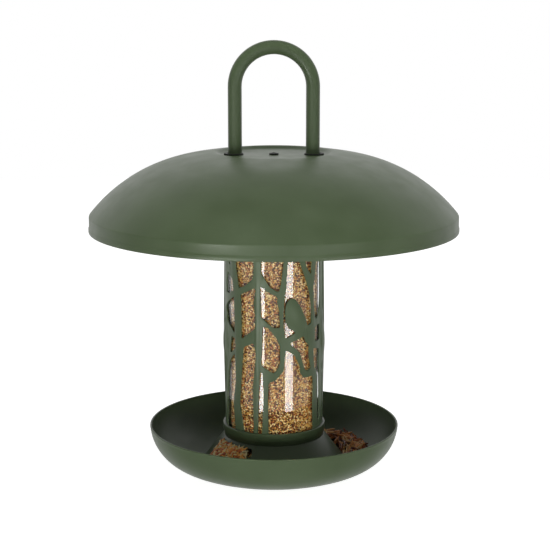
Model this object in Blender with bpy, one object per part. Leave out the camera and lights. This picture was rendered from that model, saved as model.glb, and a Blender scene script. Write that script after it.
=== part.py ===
"""Hanging bird feeder: a clear seed tube in a branch-pattern casing, between a round dish and a domed roof.

Units are metres, +Z is up, and the origin is at the middle of the dish's flat foot.
The roof is the one moving piece: it slides up the two legs of the handle for filling.
"""

import math

import bmesh
import bpy
from mathutils import Vector
from mathutils.geometry import delaunay_2d_cdt

# Clearances
GAP = 0.0003                    # between pieces that touch
TUBE_CLEARANCE = 0.0004         # between the clear tube and the casing round it
SLIDING_GAP = 0.0003            # between a handle leg and the ring that slides along it
HOLE_CLEARANCE = 0.0003         # round a screw's shank

# Dish
DISH_RADIUS = 0.0860
DISH_SHEET = 0.0012
DISH_FOOT_RADIUS = 0.0305
DISH_FLOOR_BEND = 0.0950
DISH_WALL_BEND = 0.0302
DISH_RIM_SLOPE = math.radians(85.3)
DISH_RIM_BEAD = 0.0007
BOSS_HEIGHT = 0.0050
BOSS_SLOPE_RUN = 0.0030

# Port base, a flared skirt whose two ports let the seed out into the dish
BASE_TOP_INSET = 0.0005         # skirt's upper edge inside the collar
BASE_SHEET = 0.0015
BASE_HEIGHT = 0.0250
BASE_FLARE = math.radians(37.1)
BASE_LIFT = 0.0006              # base's curved underside above the dish
THROAT_INSET = 0.0081           # from the casing's outside to the throat
PORT_COUNT = 2
PORT_ANGLE = math.radians(46)
PORT_BEARING = math.radians(-46)
PORT_HEIGHT = 0.0055
PORT_HEAD = 0.0007              # from the flange down to the ports

# Seed cone inside the base, and the bolt that holds cone, base and dish together
CONE_INSET = 0.0035             # from the throat to the cone's foot
BOSS_INSET = 0.0110             # from the cone's foot to the dish's boss
CONE_TOP_RADIUS = 0.0060
CONE_HEIGHT = 0.0150
CONE_SHEET = 0.0010
BOLT_RADIUS = 0.0025
BOLT_HEAD_RADIUS = 0.0045
BOLT_HEAD_HEIGHT = 0.0026
BOLT_FOOT_CLEARANCE = 0.0008
NUT_RADIUS = 0.0046
NUT_HEIGHT = 0.0032

# Collar between base and tube
COLLAR_PROUD = 0.0018           # collar outside the casing
COLLAR_HEIGHT = 0.0081
COLLAR_STEP_HEIGHT = 0.0025
COLLAR_STEP_INSET = 0.0008
COLLAR_LEDGE = 0.0017
COLLAR_SCREW_COUNT = 3
COLLAR_SCREW_BEARING = math.radians(14)
COLLAR_SCREW_RADIUS = 0.0014
COLLAR_SCREW_HEAD_RADIUS = 0.0024
COLLAR_SCREW_HEAD_HEIGHT = 0.0016

# Casing and tube
CASING_RADIUS = 0.0336
CASING_SHEET = 0.0008
CASING_LENGTH = 0.1508
LOWER_BAND = 0.0066
UPPER_BAND = 0.0042
TUBE_WALL = 0.0023
WINDOW_CORNER = 0.0011
LEAF_RISE = 0.0016

# Mouth ring at the top of the tube, and the bridge that carries the handle
MOUTH_RING_PROUD = 0.0018       # ring outside the casing
MOUTH_RING_HEIGHT = 0.0100
MOUTH_PLATE = 0.0045
MOUTH_LEDGE = 0.0016            # ring's edge inside the tube's bore
BRIDGE_THICKNESS = 0.0030
BRIDGE_WIDTH = 0.0140
BRIDGE_INSET = 0.0024
RING_SCREW_RADIUS = 0.0010
RING_SCREW_HEAD_RADIUS = 0.0015
RING_SCREW_HEAD_HEIGHT = 0.0010
RING_SCREW_EDGE = 0.0024

# Handle
LEG_SCREW_CLEARANCE = 0.00035   # between a leg screw's head and the tube's bore
HANDLE_TUBE_RADIUS = 0.00467
HANDLE_WALL = 0.0012
LEG_LENGTH = 0.0812
PLUG_LENGTH = 0.0120
LEG_SCREW_RADIUS = 0.0020
LEG_SCREW_HEAD_RADIUS = 0.0036
LEG_SCREW_HEAD_HEIGHT = 0.0022

# Roof, measured up from its lower edge
ROOF_RADIUS = 0.1252
ROOF_SHEET = 0.0010
ROOF_HEM = 0.0007
ROOF_HEM_HEIGHT = 0.0035
ROOF_BAND_INSET = 0.0004
ROOF_BAND_HEIGHT = 0.0095
ROOF_FOLD_BEND = 0.0022
ROOF_SHOULDER_SLOPE = math.radians(51)
ROOF_SHOULDER_BEND = 0.1087
ROOF_CROWN_SLOPE = math.radians(9.6)
ROOF_CROWN_BEND = 0.3215
RECESS_MARGIN = 0.0008          # recess floor outside the guide rings
RECESS_SLOPE_RUN = 0.0055
RECESS_DEPTH = 0.0021

# Lid cup under the roof, which closes the tube
CUP_HEIGHT = 0.0344
CUP_SHEET = 0.0012
CUP_LIP = 0.0012
LID_SCREW_RADIUS = 0.0020
LID_SCREW_HEAD_RADIUS = 0.0033
LID_SCREW_HEAD_HEIGHT = 0.0011
LID_NUT_RADIUS = 0.0040
LID_NUT_HEIGHT = 0.0030
SCREW_OVERHANG = 0.0015

# Guide rings where the legs pass through the roof
RING_FLANGE_RADIUS = 0.0066
RING_FLANGE_HEIGHT = 0.0008
RING_FLANGE_SHIFT = 0.0010
RING_NECK_WALL = 0.0006
RING_FOOT_RADIUS = 0.0068
RING_FOOT_HEIGHT = 0.0010

# Seed
SEED_HEADROOM = 0.0145
SEED_CROWN = 0.0030
SEED_WALL_GAP = 0.0008          # between the seed and the skirt's inner face
SEED_THROAT_DROP = 0.0026       # from the flange down to where the seed spreads
GRAIN_HEAP_BEARING = math.radians(-49)
GRAIN_HEAP_SPREAD = math.radians(24)
GRAIN_HEAP_NARROWING = math.radians(14)     # at its lower end, on the right
GRAIN_HEAP_TOP = 0.0023         # from the base's top down to the heap
GRAIN_HEAP_REACH = 0.0072       # beyond the skirt's foot
GRAIN_HEAP_HEIGHT = 0.0056
WORM_HEAP_BEARING = math.radians(122)
WORM_HEAP_SPREAD = math.radians(31)
WORM_HEAP_START = 0.0012        # outside the skirt's foot
WORM_HEAP_REACH = 0.0160
WORM_HEAP_HEIGHT = 0.0062

# Facets round each turned piece
ROOF_FACETS = 40
DISH_FACETS = 36
TUBE_FACETS = 32
SMALL_FACETS = 12
SCREW_FACETS = 8
HANDLE_FACETS = 12
HANDLE_BEND_STEPS = 12
CASING_COLUMNS = 40

# Levels, each worked out from the piece below it
BASE_BOTTOM = DISH_SHEET + GAP
BASE_FLOOR = BASE_BOTTOM + BASE_SHEET
BASE_TOP = BASE_BOTTOM + BASE_HEIGHT
BASE_FLANGE_BOTTOM = BASE_TOP - BASE_SHEET
PORT_TOP = BASE_FLANGE_BOTTOM - PORT_HEAD
PORT_SILL = PORT_TOP - PORT_HEIGHT
COLLAR_BOTTOM = BASE_TOP + GAP
COLLAR_TOP = COLLAR_BOTTOM + COLLAR_HEIGHT
TUBE_BOTTOM = COLLAR_BOTTOM + COLLAR_LEDGE + GAP
TUBE_TOP = TUBE_BOTTOM + CASING_LENGTH
MOUTH_PLATE_BOTTOM = TUBE_TOP + GAP
MOUTH_TOP = MOUTH_PLATE_BOTTOM + MOUTH_PLATE
BRIDGE_BOTTOM = MOUTH_TOP - BRIDGE_THICKNESS
LEG_BOTTOM = MOUTH_TOP + GAP
BEND_CENTRE = LEG_BOTTOM + LEG_LENGTH
CUP_BOTTOM = MOUTH_TOP + GAP
CUP_TOP = CUP_BOTTOM + CUP_HEIGHT
ROOF_SEAT = CUP_TOP + GAP
ROOF_FLOOR = ROOF_SEAT + ROOF_SHEET

# Radii that follow from the neighbours
CASING_INSIDE = CASING_RADIUS - CASING_SHEET
TUBE_RADIUS = CASING_INSIDE - TUBE_CLEARANCE
TUBE_INSIDE = TUBE_RADIUS - TUBE_WALL
THROAT_RADIUS = CASING_RADIUS - THROAT_INSET
CONE_RADIUS = THROAT_RADIUS - CONE_INSET
BOSS_RADIUS = CONE_RADIUS - BOSS_INSET
COLLAR_RADIUS = CASING_RADIUS + COLLAR_PROUD
BASE_RADIUS = COLLAR_RADIUS - BASE_TOP_INSET
BASE_WALL_RUN = BASE_SHEET / math.cos(BASE_FLARE)
MOUTH_RING_RADIUS = CASING_RADIUS + MOUTH_RING_PROUD
MOUTH_OPENING_RADIUS = TUBE_INSIDE - MOUTH_LEDGE
CUP_RADIUS = MOUTH_RING_RADIUS
LEG_OFFSET = TUBE_INSIDE - LEG_SCREW_CLEARANCE - LEG_SCREW_HEAD_RADIUS
RECESS_FLOOR_RADIUS = LEG_OFFSET + RING_FLANGE_SHIFT + RING_FLANGE_RADIUS + RECESS_MARGIN
RECESS_RADIUS = RECESS_FLOOR_RADIUS + RECESS_SLOPE_RUN
BOLT_HOLE = BOLT_RADIUS + HOLE_CLEARANCE
LID_HOLE = LID_SCREW_RADIUS + HOLE_CLEARANCE
LEG_SCREW_HOLE = LEG_SCREW_RADIUS + HOLE_CLEARANCE
RING_SCREW_HOLE = RING_SCREW_RADIUS + HOLE_CLEARANCE
COLLAR_SCREW_HOLE = COLLAR_SCREW_RADIUS + HOLE_CLEARANCE
COLLAR_SCREW_CIRCLE = THROAT_RADIUS + COLLAR_SCREW_HEAD_RADIUS + 2 * GAP
BRIDGE_REACH = MOUTH_RING_RADIUS - BRIDGE_INSET
RING_BORE = HANDLE_TUBE_RADIUS + SLIDING_GAP
RING_NECK = RING_BORE + RING_NECK_WALL
LEG_HOLE = RING_NECK + GAP

# The branch pattern, drawn on one half of the casing and repeated on the other.
# A point is (degrees to the right of the front, steps up), with 140 steps in the open height.
PATTERN_STEPS = 140
PATTERN_REPEATS = 2
SEAM = -200                     # degrees; the casing's joint, along a stem with no window
WINDOWS = (
    ((-73, 138), (-57, 138), (-57, 118), (-62, 112), (-69, 117)),
    ((-68, 108), (-56, 103), (-54, 96), (-63, 93), (-72, 93), (-73, 102)),
    ((-49, 138), (-50, 112), (-47, 105), (-45, 98), (-34, 101), (-26, 105), (-24, 109), (-24, 138)),
    ((-15, 138), (-15, 110), (-5, 101), (5, 97), (8, 102), (11, 117), (13, 138)),
    ((18, 138), (16, 117), (14, 99), (12, 92), (10.8, 84), (10.8, 75), (13, 65), (25, 68.6), (24, 70.2),
     (18.2, 71.8), (13.6, 76.5), (12.5, 84), (14, 89.5), (19, 92.8), (25, 92), (31, 87), (36.3, 80.5),
     (42, 72.5), (49, 74), (49, 86), (45, 96), (38, 107), (30, 118), (27, 138)),
    ((36, 138), (38.6, 116.7), (40.5, 113.2), (43.7, 109.6), (48.5, 107.2), (49.2, 115.9), (50, 138)),
    ((56, 138), (56.8, 115.2), (55.1, 105.6), (52.1, 98.6), (53.1, 88.7), (55.3, 78.6), (57.5, 75.3),
     (62.6, 77.8), (66.4, 82.4), (68.6, 91), (67.8, 102), (67, 114.4), (67, 138)),
    ((-53, 92), (-52, 66), (-58, 69), (-72, 74), (-76, 83), (-67, 87)),
    ((-59, 64), (-52, 63), (-51, 56), (-60, 52), (-63, 52.5), (-61.5, 58)),
    ((-42, 94), (-21, 100), (-24, 89), (-22, 81), (-22, 72), (-33, 67), (-41, 63), (-41, 80)),
    ((-16, 102), (-9, 98), (4, 94), (3.5, 91), (6, 84), (7, 73), (-1, 73), (-15, 80)),
    ((-13, 74), (-7, 73), (3, 66), (7, 60), (7, 48), (1, 42), (-2, 42), (-15, 47), (-14, 59)),
    ((-16, 43), (-18, 23), (-19, -2), (-14, -2), (-12, 26), (-13, 41)),
    ((37, 66), (39, 62), (45, 59), (45, 51), (48, 43), (43, 41), (38, 43), (31, 55), (18, 62)),
    ((14, 58), (25, 53), (32, 45), (32, 41), (37, 37), (52, 37), (53, 28), (52, 17), (53, -2), (-6, -2),
     (-7, 21), (-6, 35), (2, 37), (11, 43)),
    ((55.7, 69.4), (59.5, 71.2), (66.9, 72), (68.5, 67.1), (67.2, 60.8), (57.7, 60.2), (55.8, 61.2)),
    ((52.6, 56.2), (65.2, 54.6), (66.3, 51.5), (64.3, 46.7), (66.3, 40), (67, 30), (67.4, 21), (67.3, 5.8),
     (62.4, -1.5), (61.3, 16.9), (61.3, 35.1), (58, 41), (55.3, 42), (53.4, 48.1)),
    ((-52, 53), (-62, 47), (-68, 38), (-69, 26), (-73, 17), (-73, 2), (-70, -2), (-51, -2), (-55, 17),
     (-50, 35)),
    ((-38, 58), (-24, 62), (-21, 54), (-25, 31), (-24, -2), (-37, -2), (-44, 18), (-42, 32)),
    ((76, 136), (83, 136), (84, 82), (79, 78), (76, 84)),
    ((92, 136), (98, 136), (97, 82), (93, 78)),
    ((76, 36), (83, 36), (82, 4), (76, 4)),
    ((92, 36), (98, 36), (98, 4), (92, 4)),
)
# A leaf is (degrees, steps up, half length, half width, degrees of lean from upright).
LEAVES = (
    (26, 81.5, 0.0140, 0.0080, 37),
    (82, 57, 0.0160, 0.0066, -6),
    (-79.5, 58, 0.0145, 0.0088, 0),
)


def clear_objects():
    """Remove what the file holds, so that the model starts from nothing."""
    for thing in list(bpy.data.objects):
        bpy.data.objects.remove(thing, do_unlink=True)


def surface(name, colour, roughness, metallic=0.0, transmission=0.0):
    """A plain surface finish with one colour."""
    material = bpy.data.materials.new(name)
    material.use_nodes = True
    shader = material.node_tree.nodes["Principled BSDF"]
    shader.inputs["Base Color"].default_value = (*colour, 1.0)
    shader.inputs["Roughness"].default_value = roughness
    shader.inputs["Metallic"].default_value = metallic
    shader.inputs["Transmission Weight"].default_value = transmission
    material.diffuse_color = (*colour, 1.0)
    return material


def green_paint():
    """Satin dark green powder coat over steel."""
    return surface("green_paint", (0.075, 0.098, 0.055), 0.42)


def black_rubber():
    """Rubber of the two guide rings."""
    return surface("black_rubber", (0.015, 0.017, 0.013), 0.65)


def clear_plastic():
    """Clear wall of the seed tube."""
    return surface("clear_plastic", (0.95, 0.96, 0.95), 0.05, transmission=1.0)


def zinc_steel():
    """Plated screws, nuts and plugs."""
    return surface("zinc_steel", (0.55, 0.56, 0.55), 0.35, metallic=1.0)


def seed_mix():
    """Small tan seed that fills the tube."""
    return surface("seed_mix", (0.42, 0.27, 0.13), 0.75)


def orange_grain():
    """Hulled grain that has run out into the dish."""
    return surface("orange_grain", (0.55, 0.25, 0.08), 0.7)


def dried_worm():
    """Dried mealworms in the dish."""
    return surface("dried_worm", (0.20, 0.07, 0.04), 0.6)


def finish_mesh(name, mesh_in_work, material, smooth_angle=35):
    """Turn a mesh in work into a named object with outward faces and soft shading on its round sides."""
    bmesh.ops.recalc_face_normals(mesh_in_work, faces=mesh_in_work.faces)
    if mesh_in_work.calc_volume(signed=True) < 0:
        bmesh.ops.reverse_faces(mesh_in_work, faces=mesh_in_work.faces)
    mesh = bpy.data.meshes.new(name)
    mesh_in_work.to_mesh(mesh)
    mesh_in_work.free()
    mesh.shade_smooth()
    mesh.set_sharp_from_angle(angle=math.radians(smooth_angle))
    mesh.materials.append(material)
    piece = bpy.data.objects.new(name, mesh)
    bpy.context.scene.collection.objects.link(piece)
    return piece


def arc(centre, radius, start, end, steps):
    """Points of a round stretch of a profile, with angles from +X towards +Z."""
    points = []
    for step in range(steps + 1):
        angle = start + (end - start) * step / steps
        points.append((centre[0] + radius * math.cos(angle), centre[1] + radius * math.sin(angle)))
    return points


def add_ring(work, radius, height, facets, centre=(0.0, 0.0)):
    """Add one level ring of points, or a single point where the radius is nought."""
    if radius == 0:
        return [work.verts.new((centre[0], centre[1], height))]
    ring = []
    for facet in range(facets):
        angle = 2 * math.pi * facet / facets
        x = centre[0] + radius * math.cos(angle)
        y = centre[1] + radius * math.sin(angle)
        ring.append(work.verts.new((x, y, height)))
    return ring


def join_rings(work, one, other):
    """Fill the band between two rings, either of which may be a single point."""
    if len(one) == 1 and len(other) == 1:
        return
    count = max(len(one), len(other))
    for index in range(count):
        after = (index + 1) % count
        if len(one) == 1:
            work.faces.new((one[0], other[after], other[index]))
        elif len(other) == 1:
            work.faces.new((one[index], one[after], other[0]))
        else:
            work.faces.new((one[index], one[after], other[after], other[index]))


def add_turned(work, profile, facets, centre=(0.0, 0.0)):
    """Turn a closed profile of (radius, height) points round an upright axis."""
    rings = [add_ring(work, radius, height, facets, centre) for radius, height in profile]
    for index, ring in enumerate(rings):
        join_rings(work, ring, rings[(index + 1) % len(rings)])


def turned(name, profile, facets, material, centres=((0.0, 0.0),)):
    """A turned piece on its centre. A cutting shape may have several centres."""
    work = bmesh.new()
    for centre in centres:
        add_turned(work, profile, facets, centre)
    return finish_mesh(name, work, material)


def turned_set(name, profile, facets, material, centres):
    """Equal turned pieces, numbered from 1, one on each centre."""
    for number, centre in enumerate(centres, 1):
        turned(f"{name}_{number}", profile, facets, material, (centre,))


def round_screw(bottom_of_head, head_radius, head_height, shank_radius, shank_end):
    """Profile of a screw whose head sits above or below the shank, with a chamfered head."""
    way = 1 if shank_end < bottom_of_head else -1
    top = bottom_of_head + way * head_height
    chamfer = head_height * 0.4
    return (
        (0, shank_end),
        (shank_radius, shank_end),
        (shank_radius, bottom_of_head),
        (head_radius, bottom_of_head),
        (head_radius, top - way * chamfer),
        (head_radius - chamfer, top),
        (0, top),
    )


def cut(piece, cutter):
    """Cut one shape out of a piece and hide the cutting shape."""
    cutter.hide_render = True
    cutter.display_type = "WIRE"
    modifier = piece.modifiers.new(cutter.name, "BOOLEAN")
    modifier.operation = "DIFFERENCE"
    modifier.solver = "EXACT"
    modifier.object = cutter


def drill(piece, name, radius, low, high, centres, facets=SMALL_FACETS):
    """Cut equal upright round holes through a piece."""
    profile = ((0, low), (radius, low), (radius, high), (0, high))
    cutter = turned(name, profile, facets, piece.data.materials[0], centres)
    cut(piece, cutter)


def leg_centres():
    """Centres of the handle's two legs."""
    return ((-LEG_OFFSET, 0), (LEG_OFFSET, 0))


def around(radius, count, bearing):
    """Centres spaced evenly on a circle. A bearing is measured to the right from the front, at -Y."""
    centres = []
    for index in range(count):
        angle = bearing + 2 * math.pi * index / count
        centres.append((radius * math.sin(angle), -radius * math.cos(angle)))
    return centres


def dish_bends():
    """The slope where the dish's floor bend turns into its wall bend, and where that happens."""
    reach = DISH_RADIUS - DISH_FOOT_RADIUS - DISH_WALL_BEND * math.sin(DISH_RIM_SLOPE)
    slope = math.asin(reach / (DISH_FLOOR_BEND - DISH_WALL_BEND))
    radius = DISH_FOOT_RADIUS + DISH_FLOOR_BEND * math.sin(slope)
    height = DISH_FLOOR_BEND * (1 - math.cos(slope))
    return slope, radius, height


def dish_curve(inset, floor_steps, wall_steps):
    """Half section of the dish from its foot to its rim, moved inwards by the inset."""
    slope, radius, height = dish_bends()
    floor_centre = (DISH_FOOT_RADIUS, DISH_FLOOR_BEND)
    wall_centre = (radius - DISH_WALL_BEND * math.sin(slope), height + DISH_WALL_BEND * math.cos(slope))
    down = -math.pi / 2
    floor = arc(floor_centre, DISH_FLOOR_BEND - inset, down, down + slope, floor_steps)
    wall = arc(wall_centre, DISH_WALL_BEND - inset, down + slope, down + DISH_RIM_SLOPE, wall_steps)
    return floor + wall[1:]


def dish_floor_height(radius):
    """Height of the dish's upper face at a distance from the axis."""
    slope, bend_radius, height = dish_bends()
    if radius <= DISH_FOOT_RADIUS:
        return DISH_SHEET
    if radius <= bend_radius - DISH_SHEET * math.sin(slope):
        across = radius - DISH_FOOT_RADIUS
        return DISH_FLOOR_BEND - math.sqrt((DISH_FLOOR_BEND - DISH_SHEET) ** 2 - across ** 2)
    across = radius - (bend_radius - DISH_WALL_BEND * math.sin(slope))
    centre = height + DISH_WALL_BEND * math.cos(slope)
    return centre - math.sqrt((DISH_WALL_BEND - DISH_SHEET) ** 2 - across ** 2)


def dish(paint):
    """Pressed round dish with a beaded rim and a raised boss for the nut under its middle."""
    outside = dish_curve(0, 3, 6)
    inside = dish_curve(DISH_SHEET, 3, 6)
    rim_x = (outside[-1][0] + inside[-1][0]) / 2
    rim_z = outside[-1][1]
    bead = arc((rim_x, rim_z + DISH_RIM_BEAD * 0.5), DISH_RIM_BEAD, math.radians(-40), math.radians(220), 4)
    slope_x = BOSS_RADIUS + BOSS_SLOPE_RUN
    profile = [(BOLT_HOLE, BOSS_HEIGHT), (BOSS_RADIUS, BOSS_HEIGHT), (slope_x, 0)]
    profile += outside[:-1] + bead + inside[::-1][1:]
    boss_top = BOSS_HEIGHT + DISH_SHEET
    profile += [(slope_x + DISH_SHEET / 2, DISH_SHEET)]
    profile += [(BOSS_RADIUS + DISH_SHEET / 2, boss_top), (BOLT_HOLE, boss_top)]
    return turned("dish", profile, DISH_FACETS, paint)


def skirt_radius(height):
    """Outer radius of the base's flared skirt at a height."""
    return BASE_RADIUS + (BASE_TOP - height) * math.tan(BASE_FLARE)


def skirt_foot(inset, lift):
    """Radius where the skirt's outer face, moved in by the inset, comes down to the lift over the dish."""
    radius = DISH_FOOT_RADIUS
    for _ in range(12):
        radius = skirt_radius(dish_floor_height(radius) + lift) - inset
    return radius


def dish_bed(start, end, lift, steps):
    """Points at a lift above the dish's upper face, from one radius to another."""
    bed = []
    for step in range(steps + 1):
        radius = start + (end - start) * step / steps
        bed.append((radius, dish_floor_height(radius) + lift))
    return bed


def port_cutter(paint):
    """Rounded windows through the skirt, whose sides spread out from the axis."""
    half_width = BASE_RADIUS * math.tan(PORT_ANGLE / 2)
    corner = PORT_HEIGHT / 3
    inner = THROAT_RADIUS * 0.9
    outer = skirt_radius(PORT_SILL) * 1.1
    outline = []
    uppers = ((half_width, PORT_TOP, 0), (-half_width, PORT_TOP, 90))
    lowers = ((-half_width, PORT_SILL, 180), (half_width, PORT_SILL, 270))
    for x, z, start in uppers + lowers:
        centre = (x - math.copysign(corner, x), z - corner if z == PORT_TOP else z + corner)
        outline += arc(centre, corner, math.radians(start), math.radians(start + 90), 2)
    work = bmesh.new()
    for index in range(PORT_COUNT):
        bearing = PORT_BEARING + 2 * math.pi * index / PORT_COUNT
        out = Vector((math.sin(bearing), -math.cos(bearing), 0))
        side = Vector((math.cos(bearing), math.sin(bearing), 0))
        ends = []
        for reach in (inner, outer):
            spread = reach / BASE_RADIUS
            places = [out * reach + side * x * spread + Vector((0, 0, z)) for x, z in outline]
            ends.append([work.verts.new(place) for place in places])
        join_rings(work, ends[0], ends[1])
        work.faces.new(ends[0])
        work.faces.new(ends[1])
    return finish_mesh("port_cutter", work, paint)


def port_base(paint):
    """Flared skirt that stands in the dish, with a floor, an upper flange and its ports."""
    hill = BOSS_RADIUS + 2 * DISH_SHEET
    foot = hill + BOSS_SLOPE_RUN
    bend = DISH_FOOT_RADIUS - BASE_SHEET
    floor_lift = BASE_LIFT + BASE_SHEET
    underside = dish_bed(bend, skirt_foot(0, BASE_LIFT), BASE_LIFT, 3)[1:]
    floor = dish_bed(bend, skirt_foot(BASE_WALL_RUN, floor_lift), floor_lift, 3)[1:]
    profile = [(foot, BASE_BOTTOM), (bend, BASE_BOTTOM)] + underside
    profile += [(BASE_RADIUS, BASE_TOP), (THROAT_RADIUS, BASE_TOP), (THROAT_RADIUS, BASE_FLANGE_BOTTOM)]
    profile += [(skirt_radius(BASE_FLANGE_BOTTOM) - BASE_WALL_RUN, BASE_FLANGE_BOTTOM)]
    profile += floor[::-1] + [(bend, BASE_FLOOR), (foot + BASE_SHEET / 2, BASE_FLOOR)]
    profile += [(hill + BASE_SHEET / 2, BASE_FLOOR + BOSS_HEIGHT), (BOLT_HOLE, BASE_FLOOR + BOSS_HEIGHT)]
    profile += [(BOLT_HOLE, BASE_BOTTOM + BOSS_HEIGHT), (hill, BASE_BOTTOM + BOSS_HEIGHT)]
    base = turned("port_base", profile, TUBE_FACETS, paint)
    cut(base, port_cutter(paint))
    drill(base, "flange_hole_cutter", COLLAR_SCREW_HOLE, BASE_FLANGE_BOTTOM - GAP, BASE_TOP + GAP,
          collar_screw_centres(), SCREW_FACETS)
    return base


def cone_height_at(radius):
    """Height of the seed cone's outer face at a distance from the axis."""
    fall = CONE_HEIGHT / (CONE_RADIUS - CONE_TOP_RADIUS)
    return BASE_FLOOR + GAP + (CONE_RADIUS - radius) * fall


def seed_cone(paint):
    """Hollow cone that turns the falling seed out towards the ports."""
    base = BASE_FLOOR + GAP
    top = base + CONE_HEIGHT
    profile = (
        (CONE_RADIUS, base),
        (CONE_TOP_RADIUS, top),
        (BOLT_HOLE, top),
        (BOLT_HOLE, top - CONE_SHEET),
        (CONE_TOP_RADIUS - CONE_SHEET / 2, top - CONE_SHEET),
        (CONE_RADIUS - 1.5 * CONE_SHEET, base),
    )
    return turned("seed_cone", profile, TUBE_FACETS, paint)


def dish_bolt(steel):
    """Bolt down the axis, from the cone's top through base and dish."""
    seat = BASE_FLOOR + GAP + CONE_HEIGHT + GAP
    profile = round_screw(seat, BOLT_HEAD_RADIUS, BOLT_HEAD_HEIGHT, BOLT_RADIUS, BOLT_FOOT_CLEARANCE)
    return turned("dish_bolt", profile, SMALL_FACETS, steel)


def dish_nut(steel):
    """Six-sided nut in the hollow under the dish."""
    top = BOSS_HEIGHT - GAP
    return hexagon_nut("dish_nut", NUT_RADIUS, BOLT_HOLE, top - NUT_HEIGHT, top, steel)


def hexagon_nut(name, radius, bore, low, high, steel):
    """A nut with six flats round a plain bore."""
    work = bmesh.new()
    facets = 12
    rings = []
    for height in (low, high):
        outer = []
        for facet in range(facets):
            angle = math.pi / 6 * facet
            reach = radius if facet % 2 == 0 else radius * math.cos(math.pi / 6)
            outer.append(work.verts.new((reach * math.cos(angle), reach * math.sin(angle), height)))
        rings.append(outer)
    rings.append(add_ring(work, bore, high, facets))
    rings.append(add_ring(work, bore, low, facets))
    for index, ring in enumerate(rings):
        join_rings(work, ring, rings[(index + 1) % 4])
    return finish_mesh(name, work, steel)


def base_collar(paint):
    """Stepped collar that holds the tube and casing on a ledge over the base."""
    inside = CASING_RADIUS + GAP
    ledge_top = COLLAR_BOTTOM + COLLAR_LEDGE
    step = COLLAR_BOTTOM + COLLAR_STEP_HEIGHT
    soft = COLLAR_STEP_INSET / 2
    profile = (
        (THROAT_RADIUS, COLLAR_BOTTOM),
        (COLLAR_RADIUS - COLLAR_STEP_INSET, COLLAR_BOTTOM),
        (COLLAR_RADIUS - COLLAR_STEP_INSET, step),
        (COLLAR_RADIUS, step + soft),
        (COLLAR_RADIUS, COLLAR_TOP - soft),
        (COLLAR_RADIUS - soft, COLLAR_TOP),
        (inside, COLLAR_TOP),
        (inside, ledge_top),
        (THROAT_RADIUS, ledge_top),
    )
    collar = turned("base_collar", profile, TUBE_FACETS, paint)
    drill(collar, "ledge_hole_cutter", COLLAR_SCREW_HOLE, COLLAR_BOTTOM - GAP, ledge_top + GAP,
          collar_screw_centres(), SCREW_FACETS)
    return collar


def collar_screw_centres():
    """Places of the screws that hold the collar down on the base."""
    return around(COLLAR_SCREW_CIRCLE, COLLAR_SCREW_COUNT, COLLAR_SCREW_BEARING)


def collar_screws(steel):
    """Screws up through the base's flange into the collar's ledge."""
    seat = BASE_FLANGE_BOTTOM - GAP
    end = COLLAR_BOTTOM + COLLAR_LEDGE - GAP
    profile = round_screw(seat, COLLAR_SCREW_HEAD_RADIUS, COLLAR_SCREW_HEAD_HEIGHT,
                          COLLAR_SCREW_RADIUS, end)
    turned_set("collar_screw", profile, SCREW_FACETS, steel, collar_screw_centres())


def seed_tube(plastic):
    """Clear tube, open at both ends."""
    profile = (
        (TUBE_INSIDE, TUBE_BOTTOM),
        (TUBE_RADIUS, TUBE_BOTTOM),
        (TUBE_RADIUS, TUBE_TOP),
        (TUBE_INSIDE, TUBE_TOP),
    )
    return turned("seed_tube", profile, TUBE_FACETS, plastic)


def on_sheet(point):
    """Place a point of the branch pattern on the flat sheet, in metres along and up."""
    open_height = CASING_LENGTH - LOWER_BAND - UPPER_BAND
    along = math.radians(point[0]) * CASING_RADIUS
    return Vector((along, LOWER_BAND + point[1] / PATTERN_STEPS * open_height))


def rounded_window(corners):
    """Round each corner of a window. A gentle corner gets fewer points than a sharp one."""
    outline = []
    for index, corner in enumerate(corners):
        back = corners[index - 1] - corner
        ahead = corners[(index + 1) % len(corners)] - corner
        turn = math.pi - back.angle(ahead)
        reach = min(WINDOW_CORNER * math.tan(turn / 2), 0.4 * back.length, 0.4 * ahead.length)
        start = corner + back.normalized() * reach
        end = corner + ahead.normalized() * reach
        if turn < math.radians(22):
            outline.append(corner)
        elif turn < math.radians(60):
            outline += [start, end]
        else:
            outline += [start, start * 0.25 + corner * 0.5 + end * 0.25, end]
    return outline


def pattern_shifts(degrees):
    """Turns, in degrees, that put a point's copies between the two edges of the sheet."""
    step = 360 / PATTERN_REPEATS
    shifts = []
    for index in range(PATTERN_REPEATS):
        turned_by = (degrees + step * index - SEAM) % 360 + SEAM - degrees
        shifts.append(turned_by)
    return shifts


def all_windows():
    """Every window of the casing as a rounded outline on the flat sheet."""
    outlines = []
    for window in WINDOWS:
        for shift in pattern_shifts(window[0][0]):
            corners = [on_sheet((degrees + shift, steps)) for degrees, steps in window]
            outlines.append(rounded_window(corners))
    return outlines


def all_leaves():
    """Every leaf as its middle on the sheet, its half length and half width, and its long direction."""
    leaves = []
    for degrees, steps, half_length, half_width, lean in LEAVES:
        for shift in pattern_shifts(degrees):
            middle = on_sheet((degrees + shift, steps))
            lean_angle = math.radians(lean)
            direction = Vector((-math.sin(lean_angle), math.cos(lean_angle)))
            leaves.append((middle, half_length, half_width, direction))
    return leaves


def leaf_rise(point, leaves):
    """How far the sheet stands proud at a point, from the leaf that it lies on."""
    width = 2 * math.pi * CASING_RADIUS
    for middle, half_length, half_width, direction in leaves:
        offset = point - middle
        offset.x = (offset.x + width / 2) % width - width / 2
        along = offset.dot(direction) / half_length
        across = (offset.x * direction.y - offset.y * direction.x) / half_width
        share = along * along + across * across
        if share < 1:
            return LEAF_RISE * (1 - share)
    return 0.0


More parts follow.
